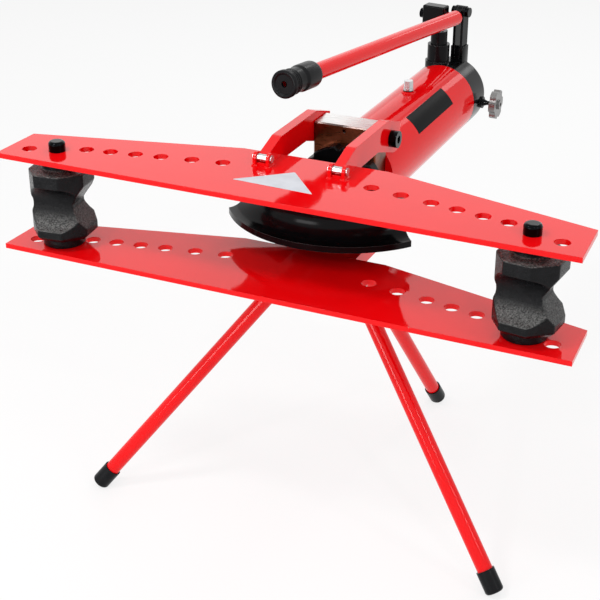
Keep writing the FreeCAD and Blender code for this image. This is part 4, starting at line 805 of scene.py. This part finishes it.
class BENDER_OT_grip(bpy.types.Operator):
    """Moulded grip with a flange, three rings and a swollen sleeve"""
    bl_idname = "bender.grip"
    bl_label = "Grip"

    def execute(self, context):
        turn = math.radians(LEVER_TURN)
        rise = math.radians(LEVER_RISE)
        # The lever runs back along this line, and the grip starts at the solid's front face
        back = Vector((math.sin(turn) * math.cos(rise), math.cos(turn) * math.cos(rise),
                       -math.sin(rise)))
        verts = [vert.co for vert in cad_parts["lever_grip"].data.vertices]
        front = min(place.dot(back) for place in verts)
        face = [place for place in verts if place.dot(back) < front + SURFACE_TOLERANCE]
        centre = sum(face, Vector()) / len(face)
        across = back.cross(Vector((0, 0, 1))).normalized()
        upward = across.cross(back)
        section = self.section()
        work = bmesh.new()
        rings = []
        for k in range(GRIP_STEPS):
            angle = 2 * math.pi * k / GRIP_STEPS
            out = across * math.cos(angle) + upward * math.sin(angle)
            rings.append([work.verts.new(centre + back * along * MM + out * radius * MM)
                          for radius, along in section])
        for k, ring in enumerate(rings):
            for m in range(len(ring)):
                work.faces.new((ring[m - 1], rings[k - 1][m - 1], rings[k - 1][m], ring[m]))
        mesh = as_mesh(work, "moulded_grip")
        smooth_shaded(mesh, 30)
        piece = new_piece("moulded_grip", mesh, "lever", MATERIALS["moulded_rubber"])
        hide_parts("lever_grip")
        return {"FINISHED"}

    def section(self):
        """Radius and distance from the front end, round the section of the grip's wall."""
        line = [(GRIP_HOLE, DISH_DEPTH)]
        line += [(GRIP_FLANGE - inset, along) for inset, along in FLANGE_SECTION]
        line.append((GRIP_RADIUS, GRIP_FLANGE_LENGTH + 1))
        for k in range(GRIP_RINGS):
            start = GRIP_FLANGE_LENGTH + GRIP_EDGE + RING_PITCH * k
            line += [(GRIP_RADIUS, start), (GRIP_RADIUS + RING_HEIGHT, start + GRIP_EDGE / 2),
                     (GRIP_RADIUS + RING_HEIGHT, start + GRIP_EDGE),
                     (GRIP_RADIUS, start + GRIP_EDGE * 3 / 2)]
        swell = GRIP_LENGTH - SWELL_LENGTH
        line.append((GRIP_RADIUS, swell))
        rising = SWELL_RADIUS - GRIP_RADIUS
        for k in range(1, SWELL_STEPS + 1):
            share = k / SWELL_STEPS
            ease = share * share * (3 - 2 * share)
            line.append((GRIP_RADIUS + rising * ease, swell + SWELL_SLOPE * share))
        falling = SWELL_RADIUS - TUBE_FIT - GRIP_EDGE
        for k in range(SWELL_STEPS + 1):
            angle = math.pi / 2 * k / SWELL_STEPS
            line.append((TUBE_FIT + GRIP_EDGE + falling * math.cos(angle),
                         GRIP_LENGTH - SWELL_SLOPE * (1 - math.sin(angle))))
        return line + [(TUBE_FIT, GRIP_LENGTH), (TUBE_FIT, GRIP_WALL), (GRIP_HOLE, GRIP_WALL)]


class BENDER_OT_coil_spring(bpy.types.Operator):
    """The return spring as a smoothly shaded piece of its own on the frame"""
    bl_idname = "bender.coil_spring"
    bl_label = "Coil spring"

    def execute(self, context):
        mesh = merged_copy("return_spring")
        smooth_shaded(mesh, 60)
        piece = new_piece("coil_spring", mesh, "frame", MATERIALS["black_oxide"])
        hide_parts("return_spring")
        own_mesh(piece)
        return {"FINISHED"}


# The forked post about the straps' rivet, in millimetres: half sizes across and along, half
# width of its slot, reach down, depth of the slot's floor, reach up and rounding of its edges
POST_WIDTH, POST_DEPTH, POST_SLOT = 12.6, 12.2, 10.3
POST_DOWN, POST_SHOULDER, POST_UP, POST_EDGE = 28, 12.5, 12, 1


class BENDER_OT_link_post(bpy.types.Operator):
    """Forked post on the pump that takes the feet of the two straps"""
    bl_idname = "bender.link_post"
    bl_label = "Link post"

    def execute(self, context):
        outline = [(-POST_WIDTH, -POST_DOWN), (POST_WIDTH, -POST_DOWN), (POST_WIDTH, POST_UP),
                   (POST_SLOT, POST_UP), (POST_SLOT, -POST_SHOULDER),
                   (-POST_SLOT, -POST_SHOULDER), (-POST_SLOT, POST_UP), (-POST_WIDTH, POST_UP)]
        post = prism(outline, -POST_DEPTH, POST_DEPTH, "Y")
        rounding = post.modifiers.new("edges", "BEVEL")
        rounding.width = POST_EDGE * MM
        rounding.segments = 2
        mesh = baked(post, "link_post")
        smooth_shaded(mesh, 40)
        mesh.transform(Matrix.Translation(middle("link_pin"))
                       @ Matrix.Rotation(-math.radians(LEVER_TURN), 4, "Z"))
        new_piece("link_post", mesh, "frame", MATERIALS["smooth_lacquer"])
        return {"FINISHED"}


# Films lie this far off the paint below them
FILM_GAP = 0.02 * MM
# Bare triangle on the upper plate: corners in millimetres from the middle and the front edge,
# and how far they are rounded
STICKER_CORNERS = [(-77, 54), (53, 49), (-5, 116)]
STICKER_ROUNDING = 2


class BENDER_OT_plate_sticker(bpy.types.Operator):
    """Bare triangular sticker on the upper plate"""
    bl_idname = "bender.plate_sticker"
    bl_label = "Plate sticker"

    def execute(self, context):
        work = bmesh.new()
        work.faces.new([work.verts.new((x * MM, FRONT + y * MM, PLATE_HIGH.z + FILM_GAP))
                        for x, y in STICKER_CORNERS])
        bmesh.ops.bevel(work, geom=list(work.verts), offset=STICKER_ROUNDING * MM, segments=4,
                        affect="VERTICES", profile=0.5)
        raised = bmesh.ops.extrude_face_region(work, geom=work.faces[:])["geom"]
        top = [part for part in raised if isinstance(part, bmesh.types.BMVert)]
        bmesh.ops.translate(work, vec=(0, 0, trim().sticker_thickness), verts=top)
        mesh = as_mesh(work, "plate_sticker")
        new_piece("plate_sticker", mesh, "frame", MATERIALS["sticker_film"])
        return {"FINISHED"}


# Bare label on the tank: its ends in millimetres behind the plates' front edge, its lower and
# upper edge in degrees round the tank above its right side, and its steps round the tank
LABEL_START, LABEL_END = 476, 651
LABEL_LOW, LABEL_HIGH, LABEL_STEPS = 28, 59, 16


class BENDER_OT_tank_label(bpy.types.Operator):
    """Bare black label that bends round the right of the tank"""
    bl_idname = "bender.tank_label"
    bl_label = "Tank label"

    def execute(self, context):
        work = bmesh.new()
        rows = []
        for k in range(LABEL_STEPS + 1):
            angle = math.radians(LABEL_LOW + (LABEL_HIGH - LABEL_LOW) * k / LABEL_STEPS)
            row = []
            for radius in (TANK_RADIUS + FILM_GAP, TANK_RADIUS + trim().sticker_thickness):
                for along in (LABEL_START, LABEL_END):
                    row.append(work.verts.new((
                        TANK_AXIS.x + radius * math.cos(angle), FRONT + along * MM,
                        TANK_AXIS.z + radius * math.sin(angle))))
            rows.append(row)
        for first, second in zip(rows, rows[1:]):
            work.faces.new((first[2], second[2], second[3], first[3]))
            work.faces.new((first[0], first[1], second[1], second[0]))
            work.faces.new((first[0], second[0], second[2], first[2]))
            work.faces.new((first[1], first[3], second[3], second[1]))
        for end in (rows[0], rows[-1]):
            work.faces.new((end[0], end[2], end[3], end[1]))
        mesh = as_mesh(work, "tank_label")
        smooth_shaded(mesh, 35)
        new_piece("tank_label", mesh, "frame", MATERIALS["label_film"])
        return {"FINISHED"}


WHITE = (1, 1, 1, 1)
# Lamps: turn from the front and rise in degrees, distance, width and height in metres, watts.
# The first lies in the gloss of the plates' tops, the others draw the bands along the tubes.
LAMPS = [
    ("rear_panel", -155, 27, 3.0, 2.8, 1.6, 7.0),
    ("rear_strip", 169, 22, 3.0, 0.3, 0.7, 1.6),
    ("high_strip", 175, 43, 3.0, 0.35, 0.6, 5.5),
    ("front_box", -20, 5, 3.0, 1.2, 0.8, 19.0),
    ("flank_box", -38, 54, 2.4, 0.36, 0.3, 15.0),
    ("right_strip", 72, 30, 2.6, 0.3, 0.9, 7.0),
    ("left_dot", -12, 34, 2.6, 0.12, 0.12, 5.0),
    ("right_dot", 40, 38, 2.6, 0.12, 0.12, 5.0),
]
# What the lamps look at, in metres behind the plates' front edge and above the floor
LAMP_AIM_BACK, LAMP_AIM_HEIGHT = 0.25, 0.45
# Half the floor's width in metres
FLOOR_HALF = 12


def outwards(turn, rise):
    """Direction from the machine at a turn from the front and a rise above the horizon."""
    return Vector((math.sin(turn) * math.cos(rise), -math.cos(turn) * math.cos(rise),
                   math.sin(rise)))


def aimed(name, data, aim, away, distance):
    """A camera or lamp that looks at a point from a distance."""
    thing = bpy.data.objects.new(name, data)
    thing.location = aim + away * distance
    thing.rotation_mode = "QUATERNION"
    thing.rotation_quaternion = (-away).to_track_quat("-Z", "Y")
    bpy.context.scene.collection.objects.link(thing)
    return thing


class BENDER_OT_stage(bpy.types.Operator):
    """Camera, light and a pale floor"""
    bl_idname = "bender.stage"
    bl_label = "Stage"

    def execute(self, context):
        scene = context.scene
        scene.view_settings.view_transform = "Standard"
        settings = stage_settings()
        self.make_camera(scene, settings)
        self.make_world(scene, settings)
        self.make_lamps(settings)
        self.make_floor(scene)
        return {"FINISHED"}

    def make_camera(self, scene, settings):
        """The photo's camera: its lens, side, height and distance."""
        data = bpy.data.cameras.new("camera")
        data.sensor_width = 36
        data.lens = settings.lens
        data.clip_end = 50
        aim = Vector((settings.aim_side, FRONT - settings.aim_forward, PLATE_HIGH.z))
        away = outwards(settings.azimuth, settings.elevation)
        scene.camera = aimed("camera", data, aim, away, settings.distance)

    def make_world(self, scene, settings):
        """Even light for the surfaces; white where the camera, gloss and glass look at it."""
        world = bpy.data.worlds.new("studio")
        scene.world = world
        world.use_nodes = True
        tree = world.node_tree
        tree.nodes.clear()
        rays = add(tree, "ShaderNodeLightPath").outputs
        seen = combined(tree, "MAXIMUM", rays["Is Camera Ray"], rays["Is Glossy Ray"])
        clear = combined(tree, "MAXIMUM", seen, rays["Is Transmission Ray"])
        shader = add(tree, "ShaderNodeBackground", {"Color": WHITE},
                     Strength=spread(tree, clear, settings.sky, 1.0, start=0.0, end=1.0))
        add(tree, "ShaderNodeOutputWorld", Surface=shader.outputs[0])

    def make_lamps(self, settings):
        """Area lamps from the table, which light the machine and aren't seen themselves."""
        aim = Vector((0, FRONT + LAMP_AIM_BACK, LAMP_AIM_HEIGHT))
        for name, turn, rise, distance, width, height, power in LAMPS:
            data = bpy.data.lights.new(name, "AREA")
            data.shape = "RECTANGLE"
            data.size = width
            data.size_y = height
            data.energy = power * settings.lamps
            away = outwards(math.radians(turn), math.radians(rise))
            aimed(name, data, aim, away, distance).visible_camera = False

    def make_floor(self, scene):
        """White floor: seen about white with a soft shadow, and white in reflections."""
        material, tree = new_material("studio_floor")
        rays = add(tree, "ShaderNodeLightPath").outputs
        plain = add(tree, "ShaderNodeBsdfDiffuse", {"Color": colour("#F4F4F4")})
        glow = add(tree, "ShaderNodeEmission", {"Color": WHITE, "Strength": 1.0})
        lift = spread(tree, rays["Is Camera Ray"], 0.0, 0.75, start=0.0, end=1.0)
        shader = add(tree, "ShaderNodeMixShader")
        feed(tree, shader.inputs[0], combined(tree, "MAXIMUM", lift, rays["Is Glossy Ray"]))
        feed(tree, shader.inputs[1], plain.outputs[0])
        feed(tree, shader.inputs[2], glow.outputs[0])
        finish_material(tree, shader)
        half = FLOOR_HALF
        corners = [(-half, -half, 0), (half, -half, 0), (half, half, 0), (-half, half, 0)]
        mesh = bpy.data.meshes.new("floor")
        mesh.from_pydata(corners, [], [(0, 1, 2, 3)])
        mesh.materials.append(material)
        floor = bpy.data.objects.new("floor", mesh)
        scene.collection.objects.link(floor)


class BENDER_PT_panel(bpy.types.Panel):
    """Sidebar panel with the machine's settings and operators"""
    bl_idname = "BENDER_PT_panel"
    bl_label = "Pipe bender"
    bl_space_type = "VIEW_3D"
    bl_region_type = "UI"
    bl_category = "Pipe bender"

    def draw(self, context):
        for group in (finish(), trim(), stage_settings()):
            for key in group.__annotations__:
                self.layout.prop(group, key)
        for kind in OPERATORS:
            self.layout.operator(kind.bl_idname)


OPERATORS = [
    BENDER_OT_finishes,
    BENDER_OT_welds,
    BENDER_OT_ram_collar,
    BENDER_OT_shoes,
    BENDER_OT_grip,
    BENDER_OT_coil_spring,
    BENDER_OT_link_post,
    BENDER_OT_plate_sticker,
    BENDER_OT_tank_label,
    BENDER_OT_stage,
]
GROUPS = [("bender_finish", BenderFinish), ("bender_trim", BenderTrim),
          ("bender_stage", BenderStage)]


def register():
    """Adds the settings to every scene, and the operators and the panel."""
    for name, kind in GROUPS:
        bpy.utils.register_class(kind)
        setattr(bpy.types.Scene, name, bpy.props.PointerProperty(type=kind))
    for kind in [*OPERATORS, BENDER_PT_panel]:
        bpy.utils.register_class(kind)


def unregister():
    """Takes away what register added."""
    for kind in [BENDER_PT_panel, *reversed(OPERATORS)]:
        bpy.utils.unregister_class(kind)
    for name, kind in reversed(GROUPS):
        delattr(bpy.types.Scene, name)
        bpy.utils.unregister_class(kind)


def main():
    """Runs the operators one after another."""
    register()
    for kind in OPERATORS:
        group, name = kind.bl_idname.split(".")
        getattr(getattr(bpy.ops, group), name)()


if __name__ == "__main__":
    main()
